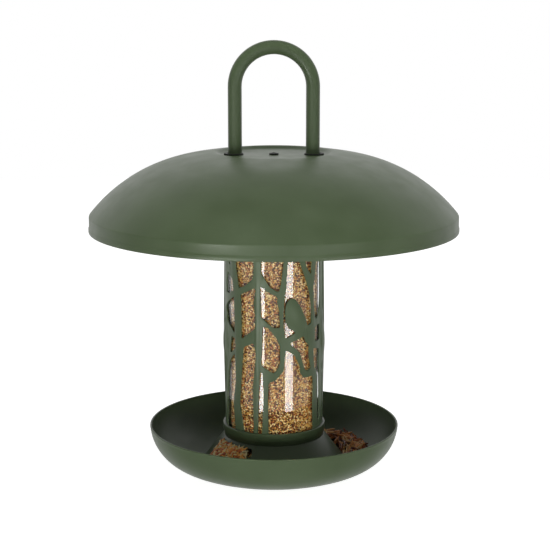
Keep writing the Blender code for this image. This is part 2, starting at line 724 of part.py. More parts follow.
def leaf_points(leaves):
    """Points inside each leaf that let the sheet bow there."""
    points = []
    for middle, half_length, half_width, direction in leaves:
        side = Vector((direction.y, -direction.x))
        points.append(middle)
        for share, count in ((0.5, 6), (0.85, 10)):
            for index in range(count):
                angle = 2 * math.pi * index / count
                step = direction * (math.cos(angle) * half_length) + side * (math.sin(angle) * half_width)
                points.append(middle + step * share)
    return points


def inside_outline(point, outline):
    """Whether a point of the sheet lies inside an outline."""
    inside = False
    for index, one in enumerate(outline):
        other = outline[index - 1]
        if (one.y > point.y) != (other.y > point.y):
            crossing = one.x + (point.y - one.y) / (other.y - one.y) * (other.x - one.x)
            if point.x < crossing:
                inside = not inside
    return inside


def flat_sheet(windows, leaves):
    """Triangles of the flat sheet with its windows left out, split along the lines where it bends."""
    left = math.radians(SEAM) * CASING_RADIUS
    width = 2 * math.pi * CASING_RADIUS
    points = []
    edges = []
    for column in range(CASING_COLUMNS + 1):
        along = left + width * column / CASING_COLUMNS
        points += [Vector((along, 0)), Vector((along, CASING_LENGTH))]
        edges.append((len(points) - 2, len(points) - 1))
        if column > 0:
            edges += [(len(points) - 4, len(points) - 2), (len(points) - 3, len(points) - 1)]
    for outline in windows:
        first = len(points)
        points += outline
        edges += [(first + index, first + (index + 1) % len(outline)) for index in range(len(outline))]
    points += leaf_points(leaves)
    weld = 0.00001
    found, _, triangles, _, _, _ = delaunay_2d_cdt(points, edges, [], 0, weld)
    kept = []
    for triangle in triangles:
        middle = sum((found[corner] for corner in triangle), Vector((0, 0))) / len(triangle)
        if not any(inside_outline(middle, outline) for outline in windows):
            kept.append(triangle)
    return found, kept


def rolled_point(point, inset, leaves):
    """Place a point of the flat sheet on the round casing."""
    angle = point.x / CASING_RADIUS
    radius = CASING_RADIUS - inset + leaf_rise(point, leaves)
    return (radius * math.sin(angle), -radius * math.cos(angle), TUBE_BOTTOM + point.y)


def branch_casing(paint):
    """Casing cut from sheet: the windows leave stems, limbs and leaves, and the sheet is rolled round."""
    leaves = all_leaves()
    points, triangles = flat_sheet(all_windows(), leaves)
    right = (math.radians(SEAM) + 2 * math.pi) * CASING_RADIUS
    weld = CASING_SHEET / 20
    left_points = {round(point.y / weld): index for index, point in enumerate(points)
                   if point.x < right - 2 * math.pi * CASING_RADIUS + weld}
    same = {index: left_points[round(point.y / weld)] for index, point in enumerate(points)
            if point.x > right - weld}
    work = bmesh.new()
    used = sorted({same.get(corner, corner) for triangle in triangles for corner in triangle})
    outer = {index: work.verts.new(rolled_point(points[index], 0, leaves)) for index in used}
    inner = {index: work.verts.new(rolled_point(points[index], CASING_SHEET, leaves)) for index in used}
    borders = {}
    for triangle in triangles:
        corners = [same.get(corner, corner) for corner in triangle]
        work.faces.new([outer[corner] for corner in corners])
        work.faces.new([inner[corner] for corner in reversed(corners)])
        for index, corner in enumerate(corners):
            after = corners[(index + 1) % len(corners)]
            if borders.pop((after, corner), None) is None:
                borders[(corner, after)] = True
    for one, other in borders:
        work.faces.new((outer[other], outer[one], inner[one], inner[other]))
    return finish_mesh("branch_casing", work, paint)


def mouth_ring(paint):
    """Ring over the top of tube and casing, with a notch each side for the bridge."""
    inside = CASING_RADIUS + GAP
    skirt = MOUTH_TOP - MOUTH_RING_HEIGHT
    soft = (MOUTH_RING_RADIUS - inside) / 3
    profile = (
        (MOUTH_OPENING_RADIUS, MOUTH_PLATE_BOTTOM),
        (inside, MOUTH_PLATE_BOTTOM),
        (inside, skirt),
        (MOUTH_RING_RADIUS, skirt),
        (MOUTH_RING_RADIUS, MOUTH_TOP - soft),
        (MOUTH_RING_RADIUS - soft, MOUTH_TOP),
        (MOUTH_OPENING_RADIUS, MOUTH_TOP),
    )
    ring = turned("mouth_ring", profile, TUBE_FACETS, paint)
    notch_half = BRIDGE_WIDTH / 2 + GAP
    reach = BRIDGE_REACH + GAP
    floor = BRIDGE_BOTTOM - GAP
    cut(ring, bar("notch_cutter", reach, notch_half, floor, MOUTH_TOP + MOUTH_PLATE, paint))
    drill(ring, "ring_hole_cutter", RING_SCREW_HOLE, MOUTH_PLATE_BOTTOM - GAP, MOUTH_TOP,
          ring_screw_centres(), SCREW_FACETS)
    head_hole = LEG_SCREW_HEAD_RADIUS + HOLE_CLEARANCE
    drill(ring, "screw_head_cutter", head_hole, MOUTH_PLATE_BOTTOM - GAP, MOUTH_TOP, leg_centres())
    return ring


def bar(name, half_length, half_width, low, high, material):
    """A flat bar along X whose ends are rounded to the ring that it lies in."""
    end_angle = math.asin(half_width / half_length)
    right = [(half_length * math.cos(a), half_length * math.sin(a))
             for a in (-end_angle, -end_angle / 2, 0, end_angle / 2, end_angle)]
    outline = right + [(-x, -y) for x, y in right]
    work = bmesh.new()
    lower = [work.verts.new((x, y, low)) for x, y in outline]
    upper = [work.verts.new((x, y, high)) for x, y in outline]
    join_rings(work, lower, upper)
    work.faces.new(lower)
    work.faces.new(upper)
    return finish_mesh(name, work, material)


def ring_screw_centres():
    """Two small screws at each end of the bridge, outside the legs."""
    y = BRIDGE_WIDTH / 2 - RING_SCREW_EDGE
    x = math.sqrt((BRIDGE_REACH - RING_SCREW_HEAD_RADIUS) ** 2 - y * y) - GAP
    return [(x, y), (x, -y), (-x, y), (-x, -y)]


def handle_bridge(paint):
    """Flat steel bar across the mouth that the two legs stand on."""
    bridge = bar("handle_bridge", BRIDGE_REACH, BRIDGE_WIDTH / 2, BRIDGE_BOTTOM, MOUTH_TOP, paint)
    drill(bridge, "leg_screw_cutter", LEG_SCREW_HOLE, BRIDGE_BOTTOM - GAP, MOUTH_TOP + GAP, leg_centres())
    drill(bridge, "small_screw_cutter", RING_SCREW_HOLE, BRIDGE_BOTTOM - GAP, MOUTH_TOP + GAP,
          ring_screw_centres(), SCREW_FACETS)
    return bridge


def ring_screws(steel):
    """Four small screws that hold the bridge down in the mouth ring."""
    seat = MOUTH_TOP + GAP
    profile = round_screw(seat, RING_SCREW_HEAD_RADIUS, RING_SCREW_HEAD_HEIGHT, RING_SCREW_RADIUS,
                          MOUTH_PLATE_BOTTOM + GAP)
    turned_set("ring_screw", profile, SCREW_FACETS, steel, ring_screw_centres())


def leg_screw(name, side, steel):
    """Screw up through the bridge into a leg's plug."""
    seat = BRIDGE_BOTTOM - GAP
    end = LEG_BOTTOM + PLUG_LENGTH * 0.8
    profile = round_screw(seat, LEG_SCREW_HEAD_RADIUS, LEG_SCREW_HEAD_HEIGHT, LEG_SCREW_RADIUS, end)
    return turned(name, profile, SMALL_FACETS, steel, ((side * LEG_OFFSET, 0),))


def leg_plug(name, side, steel):
    """Threaded plug in the foot of a leg."""
    outside = HANDLE_TUBE_RADIUS - HANDLE_WALL - GAP
    low = LEG_BOTTOM
    profile = (
        (LEG_SCREW_HOLE, low),
        (outside, low),
        (outside, low + PLUG_LENGTH),
        (LEG_SCREW_HOLE, low + PLUG_LENGTH),
    )
    return turned(name, profile, SMALL_FACETS, steel, ((side * LEG_OFFSET, 0),))


def handle_path():
    """Middle line of the handle, from the foot of the left leg over to that of the right."""
    path = [(-LEG_OFFSET, LEG_BOTTOM)]
    path += arc((0, BEND_CENTRE), LEG_OFFSET, math.pi, 0, HANDLE_BEND_STEPS)
    path.append((LEG_OFFSET, LEG_BOTTOM))
    return [Vector(point) for point in path]


def handle_hoop(paint):
    """Round steel tube bent into a hoop, with open feet."""
    path = handle_path()
    work = bmesh.new()
    outer = []
    inner = []
    for index, point in enumerate(path):
        before = path[max(index - 1, 0)]
        after = path[min(index + 1, len(path) - 1)]
        along = (after - before).normalized()
        if 0 < index < len(path) - 1:
            radial = (point - Vector((0, BEND_CENTRE))).normalized()
        else:
            radial = Vector((-along.y, along.x))
        for ring, radius in ((outer, HANDLE_TUBE_RADIUS), (inner, HANDLE_TUBE_RADIUS - HANDLE_WALL)):
            ring.append(section_ring(work, point, radial, radius))
    for rings in (outer, inner):
        for one, other in zip(rings, rings[1:]):
            join_rings(work, one, other)
    join_rings(work, outer[0], inner[0])
    join_rings(work, outer[-1], inner[-1])
    return finish_mesh("handle_hoop", work, paint)


def section_ring(work, point, radial, radius):
    """One ring of the bent tube, square to its middle line."""
    ring = []
    for facet in range(HANDLE_FACETS):
        angle = 2 * math.pi * facet / HANDLE_FACETS
        across = radius * math.cos(angle)
        deep = radius * math.sin(angle)
        ring.append(work.verts.new((point.x + radial.x * across, deep, point.y + radial.y * across)))
    return ring


def roof_curve():
    """Outer half section of the roof from its lower edge to the middle of its sunk crown."""
    band = ROOF_RADIUS - ROOF_BAND_INSET
    fold_centre = (band - ROOF_FOLD_BEND, ROOF_BAND_HEIGHT)
    lean = math.pi / 2 - ROOF_SHOULDER_SLOPE
    fold = arc(fold_centre, ROOF_FOLD_BEND, 0, lean, 2)
    start = fold[-1]
    shoulder_centre = (start[0] - ROOF_SHOULDER_BEND * math.cos(lean),
                       start[1] - ROOF_SHOULDER_BEND * math.sin(lean))
    shoulder_end = math.pi / 2 - ROOF_CROWN_SLOPE
    shoulder = arc(shoulder_centre, ROOF_SHOULDER_BEND, lean, shoulder_end, 6)
    end = shoulder[-1]
    crown_centre = (end[0] - ROOF_CROWN_BEND * math.cos(shoulder_end),
                    end[1] - ROOF_CROWN_BEND * math.sin(shoulder_end))
    crown_end = math.acos((RECESS_RADIUS - crown_centre[0]) / ROOF_CROWN_BEND)
    crown = arc(crown_centre, ROOF_CROWN_BEND, shoulder_end, crown_end, 1)
    lip = [(ROOF_RADIUS, 0), (band, ROOF_HEM_HEIGHT)]
    return lip + fold + shoulder[1:] + crown[1:] + recess_curve(crown[-1])


def recess_curve(edge):
    """The soft step down from the crown's edge to the flat floor of the recess."""
    points = []
    for share in (0.3, 0.7, 1.0):
        drop = (1 - math.cos(math.pi * share)) / 2
        radius = edge[0] + (RECESS_FLOOR_RADIUS - edge[0]) * share
        points.append((radius, edge[1] - RECESS_DEPTH * drop))
    return points


def moved_inwards(curve, distance):
    """The same curve moved square to itself, towards the inside of the sheet."""
    moved = []
    for index, point in enumerate(curve):
        before = Vector(curve[max(index - 1, 0)])
        after = Vector(curve[min(index + 1, len(curve) - 1)])
        along = (after - before).normalized()
        moved.append((point[0] - along.y * distance, point[1] + along.x * distance))
    return moved


def roof_dome(paint):
    """Spun steel dome with a hemmed upright band and a shallow recess in its crown."""
    curve = roof_curve()
    drop = ROOF_FLOOR - curve[-1][1]
    outside = [(radius, height + drop) for radius, height in curve]
    inside = moved_inwards(outside, ROOF_SHEET)
    lip = drop
    inside[0] = (outside[0][0] - ROOF_SHEET - ROOF_HEM, lip)
    inside[1] = (outside[1][0] - ROOF_SHEET, lip + ROOF_HEM_HEIGHT)
    hem_top = (inside[1][0] - ROOF_HEM, lip + ROOF_HEM_HEIGHT - ROOF_HEM)
    inside[-1] = (RECESS_FLOOR_RADIUS, ROOF_SEAT)
    back = inside[:0:-1] + [hem_top, inside[0]]
    profile = outside + [(LID_HOLE, ROOF_FLOOR), (LID_HOLE, ROOF_SEAT)] + back
    dome = turned("roof_dome", profile, ROOF_FACETS, paint)
    drill(dome, "roof_hole_cutter", LEG_HOLE, ROOF_SEAT - GAP, ROOF_FLOOR + GAP, leg_centres())
    return dome


def lid_cup(paint):
    """Upside-down cup under the roof that closes the tube and carries the roof."""
    inside = CUP_RADIUS - CUP_SHEET
    under = CUP_TOP - CUP_SHEET
    shoulder = 2 * CUP_SHEET
    profile = (
        (inside, CUP_BOTTOM),
        (CUP_RADIUS + CUP_LIP, CUP_BOTTOM),
        (CUP_RADIUS + CUP_LIP, CUP_BOTTOM + CUP_SHEET),
        (CUP_RADIUS, CUP_BOTTOM + CUP_SHEET + CUP_LIP),
        (CUP_RADIUS, CUP_TOP - shoulder),
        (CUP_RADIUS - shoulder, CUP_TOP),
        (LID_HOLE, CUP_TOP),
        (LID_HOLE, under),
        (inside - shoulder / 2, under),
        (inside, CUP_TOP - shoulder - CUP_SHEET / 2),
    )
    cup = turned("lid_cup", profile, TUBE_FACETS, paint)
    drill(cup, "cup_hole_cutter", LEG_HOLE, under - GAP, CUP_TOP + GAP, leg_centres())
    return cup


def lid_screw(steel):
    """Low screw in the middle of the crown that holds roof and cup together."""
    end = CUP_TOP - CUP_SHEET - GAP - LID_NUT_HEIGHT - SCREW_OVERHANG
    seat = ROOF_FLOOR + GAP
    profile = round_screw(seat, LID_SCREW_HEAD_RADIUS, LID_SCREW_HEAD_HEIGHT, LID_SCREW_RADIUS, end)
    return turned("lid_screw", profile, SMALL_FACETS, steel)


def lid_nut(steel):
    """Nut on the lid screw, inside the cup."""
    top = CUP_TOP - CUP_SHEET - GAP
    return hexagon_nut("lid_nut", LID_NUT_RADIUS, LID_HOLE, top - LID_NUT_HEIGHT, top, steel)


def guide_ring(name, side, rubber):
    """Rubber ring in roof and cup that a leg slides through. Its flange sits a little further out."""
    flange_bottom = ROOF_FLOOR + GAP
    flange_top = flange_bottom + RING_FLANGE_HEIGHT
    foot_top = CUP_TOP - CUP_SHEET - GAP
    foot_bottom = foot_top - RING_FOOT_HEIGHT
    soft = RING_FLANGE_HEIGHT / 3
    shift = side * RING_FLANGE_SHIFT
    levels = (
        (RING_BORE, flange_top, 0),
        (RING_FLANGE_RADIUS - soft, flange_top, shift),
        (RING_FLANGE_RADIUS, flange_top - soft, shift),
        (RING_FLANGE_RADIUS, flange_bottom, shift),
        (RING_NECK, flange_bottom, 0),
        (RING_NECK, foot_top, 0),
        (RING_FOOT_RADIUS, foot_top, 0),
        (RING_FOOT_RADIUS, foot_bottom, 0),
        (RING_BORE, foot_bottom, 0),
    )
    work = bmesh.new()
    rings = [add_ring(work, radius, height, SMALL_FACETS, (side * LEG_OFFSET + moved, 0))
             for radius, height, moved in levels]
    for index, ring in enumerate(rings):
        join_rings(work, ring, rings[(index + 1) % len(rings)])
    return finish_mesh(name, work, rubber)


def seed_column(seed):
    """The seed that fills the tube, rests on the cone and spreads out in the base up to the ports."""
    lift = 2 * GAP
    fill = TUBE_INSIDE - GAP
    level = TUBE_TOP - SEED_HEADROOM
    bolt_side = BOLT_HEAD_RADIUS + GAP
    bolt_top = BASE_FLOOR + CONE_HEIGHT + 2 * GAP + BOLT_HEAD_HEIGHT + GAP
    neck = THROAT_RADIUS - GAP
    wall_inset = BASE_WALL_RUN + SEED_WALL_GAP
    floor_lift = BASE_LIFT + BASE_SHEET + lift
    bend = DISH_FOOT_RADIUS - BASE_SHEET
    profile = [(0, bolt_top), (bolt_side, bolt_top)]
    profile += [(bolt_side, cone_height_at(CONE_TOP_RADIUS) + lift)]
    profile += [(CONE_TOP_RADIUS + GAP, cone_height_at(CONE_TOP_RADIUS) + lift)]
    profile += [(CONE_RADIUS + lift, BASE_FLOOR + lift), (bend, BASE_FLOOR + lift)]
    profile += dish_bed(bend, skirt_foot(wall_inset, floor_lift), floor_lift, 3)[1:]
    profile += [(skirt_radius(PORT_SILL) - wall_inset, PORT_SILL - GAP)]
    profile += [(neck, BASE_FLANGE_BOTTOM - SEED_THROAT_DROP), (neck, TUBE_BOTTOM)]
    profile += [(fill, TUBE_BOTTOM + GAP), (fill, level), (0, level + SEED_CROWN)]
    return turned("seed_column", profile, TUBE_FACETS, seed)


def heap(name, bearing, spread, narrowing, bed, height, seed):
    """A heap of seed on a bed of (radius, height) points. It swells square to the bed and ends flat."""
    across_steps = 10
    lengths = [0.0]
    for one, other in zip(bed, bed[1:]):
        lengths.append(lengths[-1] + math.dist(one, other))
    chord = (Vector(bed[-1]) - Vector(bed[0])).normalized()
    work = bmesh.new()
    beds = []
    tops = []
    for across in range(across_steps + 1):
        share = 2 * across / across_steps - 1
        bed_row = []
        top_row = []
        for place, (radius, level) in enumerate(bed):
            run = lengths[place] / lengths[-1]
            angle = bearing + spread * share - narrowing * run * (1 + share) / 2
            lift = height * (1 - share * share) * math.sin(math.pi * run)
            reach = radius - chord.y * lift
            low = work.verts.new((radius * math.sin(angle), -radius * math.cos(angle), level))
            high = low
            if across not in (0, across_steps) and place not in (0, len(bed) - 1):
                raised = level + chord.x * lift
                high = work.verts.new((reach * math.sin(angle), -reach * math.cos(angle), raised))
            bed_row.append(low)
            top_row.append(high)
        beds.append(bed_row)
        tops.append(top_row)
    for rows in (beds, tops):
        for one, other in zip(rows, rows[1:]):
            for place in range(len(bed) - 1):
                work.faces.new((one[place], one[place + 1], other[place + 1], other[place]))
    return finish_mesh(name, work, seed)


def grain_heap(seed):
    """Grain that has run out of the left port, down the skirt and onto the dish."""
    lift = 2 * GAP
    top = BASE_TOP - GRAIN_HEAP_TOP
    foot = skirt_foot(-lift, lift)
    fall = top - dish_floor_height(foot) - lift
    slope = []
    for step in range(5):
        height = top - fall * step / 5
        slope.append((skirt_radius(height) + lift, height))
    bed = slope + dish_bed(foot, foot + GRAIN_HEAP_REACH, lift, 2)
    heap("grain_heap", GRAIN_HEAP_BEARING, GRAIN_HEAP_SPREAD, GRAIN_HEAP_NARROWING, bed,
         GRAIN_HEAP_HEIGHT, seed)


def mealworm_heap(seed):
    """Mealworms that lie between the skirt and the dish's wall, at the right and behind."""
    lift = 2 * GAP
    start = skirt_foot(0, BASE_LIFT) + WORM_HEAP_START
    bed = dish_bed(start, start + WORM_HEAP_REACH, lift, 5)
    heap("mealworm_heap", WORM_HEAP_BEARING, WORM_HEAP_SPREAD, 0, bed, WORM_HEAP_HEIGHT, seed)


def carry(body_name, pieces):
    """Hang the pieces of a moving body on an empty that lies on its joint's axis."""
    carrier = bpy.data.objects.new(body_name, None)
    bpy.context.scene.collection.objects.link(carrier)
    for piece in pieces:
        piece.parent = carrier


def build():
    """Make every piece of the feeder."""
    clear_objects()
    paint = green_paint()
    steel = zinc_steel()
    rubber = black_rubber()
    dish(paint)
    port_base(paint)
    seed_cone(paint)
    dish_bolt(steel)
    dish_nut(steel)
    base_collar(paint)
    collar_screws(steel)
    seed_tube(clear_plastic())
    branch_casing(paint)
    mouth_ring(paint)
    handle_bridge(paint)
    ring_screws(steel)
    handle_hoop(paint)
    for side_name, side in (("left", -1), ("right", 1)):
        leg_plug(f"leg_plug_{side_name}", side, steel)
        leg_screw(f"leg_screw_{side_name}", side, steel)
    moving = [roof_dome(paint), lid_cup(paint), lid_screw(steel), lid_nut(steel)]
    moving.append(guide_ring("guide_ring_left", -1, rubber))
    moving.append(guide_ring("guide_ring_right", 1, rubber))
    carry("roof_carrier", moving)
    seed_column(seed_mix())
    grain_heap(orange_grain())
    mealworm_heap(dried_worm())


build()
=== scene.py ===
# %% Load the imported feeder
import math

import bmesh
import bpy
import numpy
from mathutils import Matrix, Vector


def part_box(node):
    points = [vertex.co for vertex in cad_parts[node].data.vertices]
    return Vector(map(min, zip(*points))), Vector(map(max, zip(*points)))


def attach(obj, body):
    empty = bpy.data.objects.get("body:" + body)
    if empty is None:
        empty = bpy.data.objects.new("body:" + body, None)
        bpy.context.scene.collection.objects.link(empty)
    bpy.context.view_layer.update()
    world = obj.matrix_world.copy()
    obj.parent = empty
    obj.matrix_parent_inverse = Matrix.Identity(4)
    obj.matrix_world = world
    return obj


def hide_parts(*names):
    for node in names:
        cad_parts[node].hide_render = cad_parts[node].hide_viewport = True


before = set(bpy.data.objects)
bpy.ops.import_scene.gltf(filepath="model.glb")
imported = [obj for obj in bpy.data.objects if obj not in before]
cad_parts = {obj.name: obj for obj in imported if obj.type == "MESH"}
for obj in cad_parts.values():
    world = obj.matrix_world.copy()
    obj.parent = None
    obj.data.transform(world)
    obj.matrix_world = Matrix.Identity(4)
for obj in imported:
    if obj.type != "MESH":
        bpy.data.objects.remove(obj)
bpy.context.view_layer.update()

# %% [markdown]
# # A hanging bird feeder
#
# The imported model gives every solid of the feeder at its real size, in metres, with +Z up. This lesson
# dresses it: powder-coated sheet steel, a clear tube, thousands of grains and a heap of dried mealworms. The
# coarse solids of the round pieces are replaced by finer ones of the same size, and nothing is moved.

# %% [markdown]
# ## The camera
#
# The photograph was taken with a long lens from a little above the roof. The ellipses of roof, dish and
# collar give the height, the distance and the tilt. The picture is square, and the feeder stands a hair left
# of its middle.

# %% Camera
CAMERA_DISTANCE = 0.9941
CAMERA_HEIGHT = 0.3343
CAMERA_TILT = math.radians(78.82)
CAMERA_TURN = math.radians(-0.0425)
LENS_MM = 96.96
SENSOR_MM = 36.0

lens = bpy.data.cameras.new("photo_camera")
lens.lens = LENS_MM
lens.sensor_width = SENSOR_MM
camera = bpy.data.objects.new("photo_camera", lens)
camera.location = (0, -CAMERA_DISTANCE, CAMERA_HEIGHT)
camera.rotation_euler = (CAMERA_TILT, 0, CAMERA_TURN)
bpy.context.scene.collection.objects.link(camera)
bpy.context.scene.camera = camera
bpy.context.scene.view_settings.view_transform = "Standard"
print("camera at", tuple(round(value, 3) for value in camera.location))

# %% [markdown]
# ## The studio
#
# The light comes from above and, low over the floor, from the front. So the dish, which its own rim and the
# roof shade, stays dark inside. The clear tube mirrors what lies below the camera's line of sight. The
# upright streaks on it come from two strips that stand lower than the floor, so they light nothing else. The
# place of the streaks in the photograph gives their direction and width.

# %% Soft boxes
BOX_DISTANCE = 1.25
# Degrees off the camera, degrees wide, radiance
STREAKS = {"right": (36.8, 19.5, 15.5), "left": (-31.5, 18.0, 20.0)}
STREAK_LOW = -0.335
STREAK_HIGH = -0.005
FILL_LOW = 0.002
FILL_HIGH = 0.17
FILL_WIDTH = 1.50
FILL_RADIANCE = 11.0
TOP_BOX_SIZE = 1.1
TOP_BOX_FRONT = 0.40
TOP_BOX_HEIGHT = 1.5
TOP_BOX_AIM = 0.1
TOP_BOX_RADIANCE = 3.3


def soft_box(name, place, aim_height, width, height, radiance, mirrored):
    """An area lamp with an even face, which the camera doesn't see, nor a gloss if it isn't mirrored."""
    lamp = bpy.data.lights.new(name, "AREA")
    lamp.shape = "RECTANGLE"
    lamp.size = width
    lamp.size_y = height
    lamp.energy = radiance * math.pi * width * height
    box = bpy.data.objects.new(name, lamp)
    box.location = place
    box.rotation_euler = (Vector((0, 0, aim_height)) - Vector(place)).to_track_quat("-Z", "Y").to_euler()
    box.visible_camera = False
    box.visible_glossy = mirrored
    bpy.context.scene.collection.objects.link(box)
    print(name, "gives", round(lamp.energy, 1), "W")


streak_middle = (STREAK_LOW + STREAK_HIGH) / 2
streak_height = STREAK_HIGH - STREAK_LOW
for side_name, (bearing, spread, radiance) in STREAKS.items():
    angle = math.radians(bearing)
    width = 2 * BOX_DISTANCE * math.tan(math.radians(spread / 2))
    place = (BOX_DISTANCE * math.sin(angle), -BOX_DISTANCE * math.cos(angle), streak_middle)
    soft_box(f"{side_name}_streak", place, streak_middle, width, streak_height, radiance, True)
fill_middle = (FILL_LOW + FILL_HIGH) / 2
fill_height = FILL_HIGH - FILL_LOW
fill_place = (0, -BOX_DISTANCE, fill_middle)
soft_box("front_fill", fill_place, fill_middle, FILL_WIDTH, fill_height, FILL_RADIANCE, False)
top_place = (0, -TOP_BOX_FRONT, TOP_BOX_HEIGHT)
soft_box("top_box", top_place, TOP_BOX_AIM, TOP_BOX_SIZE, TOP_BOX_SIZE, TOP_BOX_RADIANCE, False)

# %% [markdown]
# ## White surroundings
#
# What the camera and the clear tube see of the surroundings is plain white. A gloss sees that white behind
# the feeder and beside it, but a dim room on the camera's side and a dim ceiling. The light on surfaces comes
# from the same places and is weaker, so that the soft boxes shape the object. The Light Path node tells these
# rays apart, and a few small helpers choose, dim and multiply strengths.

# %% Helpers for rays and strengths


def seen_by(tree, *ways):
    """A socket that is 1 for the named outputs of Light Path, and 0 for every other ray."""
    path = tree.nodes.new("ShaderNodeLightPath")
    total = path.outputs[ways[0]]
    for way in ways[1:]:
        either = tree.nodes.new("ShaderNodeMath")
        either.operation = "MAXIMUM"
        tree.links.new(total, either.inputs[0])
        tree.links.new(path.outputs[way], either.inputs[1])
        total = either.outputs[0]
    return total


def dimmed(tree, share, start, full, left):
    """A factor that falls from 1 to what is left while the share goes from start to full."""
    fall = tree.nodes.new("ShaderNodeMapRange")
    for label, value in (("From Min", start), ("From Max", full), ("To Min", 1.0), ("To Max", left)):
        fall.inputs[label].default_value = value
    tree.links.new(share, fall.inputs["Value"])
    return fall.outputs["Result"]


def times(tree, one, other):
    """The product of a socket and a socket or number."""
    node = tree.nodes.new("ShaderNodeMath")
    node.operation = "MULTIPLY"
    tree.links.new(one, node.inputs[0])
    if isinstance(other, float):
        node.inputs[1].default_value = other
    else:
        tree.links.new(other, node.inputs[1])
    return node.outputs[0]


def chosen(tree, switch, off, on):
    """One of two strengths, by a switch of 0 or 1. A strength is a socket or a number."""
    node = tree.nodes.new("ShaderNodeMix")
    tree.links.new(switch, node.inputs[0])
    for slot, value in ((2, off), (3, on)):
        if isinstance(value, float):
            node.inputs[slot].default_value = value
        else:
            tree.links.new(value, node.inputs[slot])
    return node.outputs[0]


# %% [markdown]
# The world's own Background node gives the light. Its strength is worked out for each ray from the direction
# in which the ray leaves and from what kind of ray it is.

# %% World
AMBIENT = 0.32
# Where the dimming starts, where it is full and what is left. The ceiling dims with the sine of the
# elevation, and the room from the far side, at -1, to the camera's side, at 1.
CEILING = (0.62, 0.95, 0.30)
ROOM_GLOSS = (-0.75, -0.10, 0.18)
ROOM_LIGHT = (0.00, 0.70, 0.60)

world = bpy.data.worlds.new("studio")
world.use_nodes = True
bpy.context.scene.world = world


def sky(tree):
    """White for the eye, white with a dim ceiling and room for a gloss, and the same but weaker as light."""
    direction = tree.nodes.new("ShaderNodeTexCoord")
    parts = tree.nodes.new("ShaderNodeSeparateXYZ")
    tree.links.new(direction.outputs["Generated"], parts.inputs[0])
    towards_camera = times(tree, parts.outputs["Y"], -1.0)
    ceiling = dimmed(tree, parts.outputs["Z"], *CEILING)
    mirrored = times(tree, ceiling, dimmed(tree, towards_camera, *ROOM_GLOSS))
    light = times(tree, times(tree, ceiling, dimmed(tree, towards_camera, *ROOM_LIGHT)), AMBIENT)
    reflected = chosen(tree, seen_by(tree, "Is Glossy Ray"), light, mirrored)
    seen = seen_by(tree, "Is Camera Ray", "Is Transmission Ray")
    background = tree.nodes["Background"]
    background.inputs["Color"].default_value = (1, 1, 1, 1)
    tree.links.new(chosen(tree, seen, reflected, 1.0), background.inputs["Strength"])


sky(world.node_tree)
print("ambient light", AMBIENT)

# %% [markdown]
# ## A pale floor
#
# The floor is matt and takes the feeder's soft shadow. It also glows, so that for the camera it is as white
# as the surroundings, and it glows a little less as light on surfaces. A gloss looks through it, so that the
# tube can mirror the two strips.

# %% Floor
FLOOR_RADIUS = 1.6
FLOOR_STEPS = 96
FLOOR_GAP = 0.0001
FLOOR_WHITE = 0.60
FLOOR_GLOW = 0.93
FLOOR_BOUNCE = 0.68


def plain_mesh(work, name):
    """Turn a finished bmesh into a mesh and free it."""
    mesh = bpy.data.meshes.new(name)
    work.to_mesh(mesh)
    work.free()
    return mesh


disc = bmesh.new()
bmesh.ops.create_circle(disc, cap_ends=True, radius=FLOOR_RADIUS, segments=FLOOR_STEPS)
floor = bpy.data.objects.new("floor", plain_mesh(disc, "floor"))
floor.location = (0, 0, -FLOOR_GAP)
floor.visible_glossy = False
bpy.context.scene.collection.objects.link(floor)
floor_finish = bpy.data.materials.new("floor_white")
floor_finish.use_nodes = True
floor_tree = floor_finish.node_tree
floor_tree.nodes.clear()
matt = floor_tree.nodes.new("ShaderNodeBsdfDiffuse")
matt.inputs["Color"].default_value = (FLOOR_WHITE, FLOOR_WHITE, FLOOR_WHITE, 1)
glow = floor_tree.nodes.new("ShaderNodeEmission")
directly = seen_by(floor_tree, "Is Camera Ray", "Is Glossy Ray", "Is Transmission Ray")
floor_tree.links.new(chosen(floor_tree, directly, FLOOR_BOUNCE, FLOOR_GLOW), glow.inputs["Strength"])
both = floor_tree.nodes.new("ShaderNodeAddShader")
floor_tree.links.new(matt.outputs[0], both.inputs[0])
floor_tree.links.new(glow.outputs[0], both.inputs[1])
floor_end = floor_tree.nodes.new("ShaderNodeOutputMaterial")
floor_tree.links.new(both.outputs[0], floor_end.inputs["Surface"])
floor.data.materials.append(floor_finish)
print("floor", FLOOR_RADIUS, "m in radius")

# %% [markdown]
# ## Finishes
#
# A small helper keeps the material cells short. Every pattern reads Object coordinates, and since each
# finished piece sits at the origin, those are the feeder's own metres. A noise scale of 1000 has grains of
# about 1 mm.

# %% A helper for materials


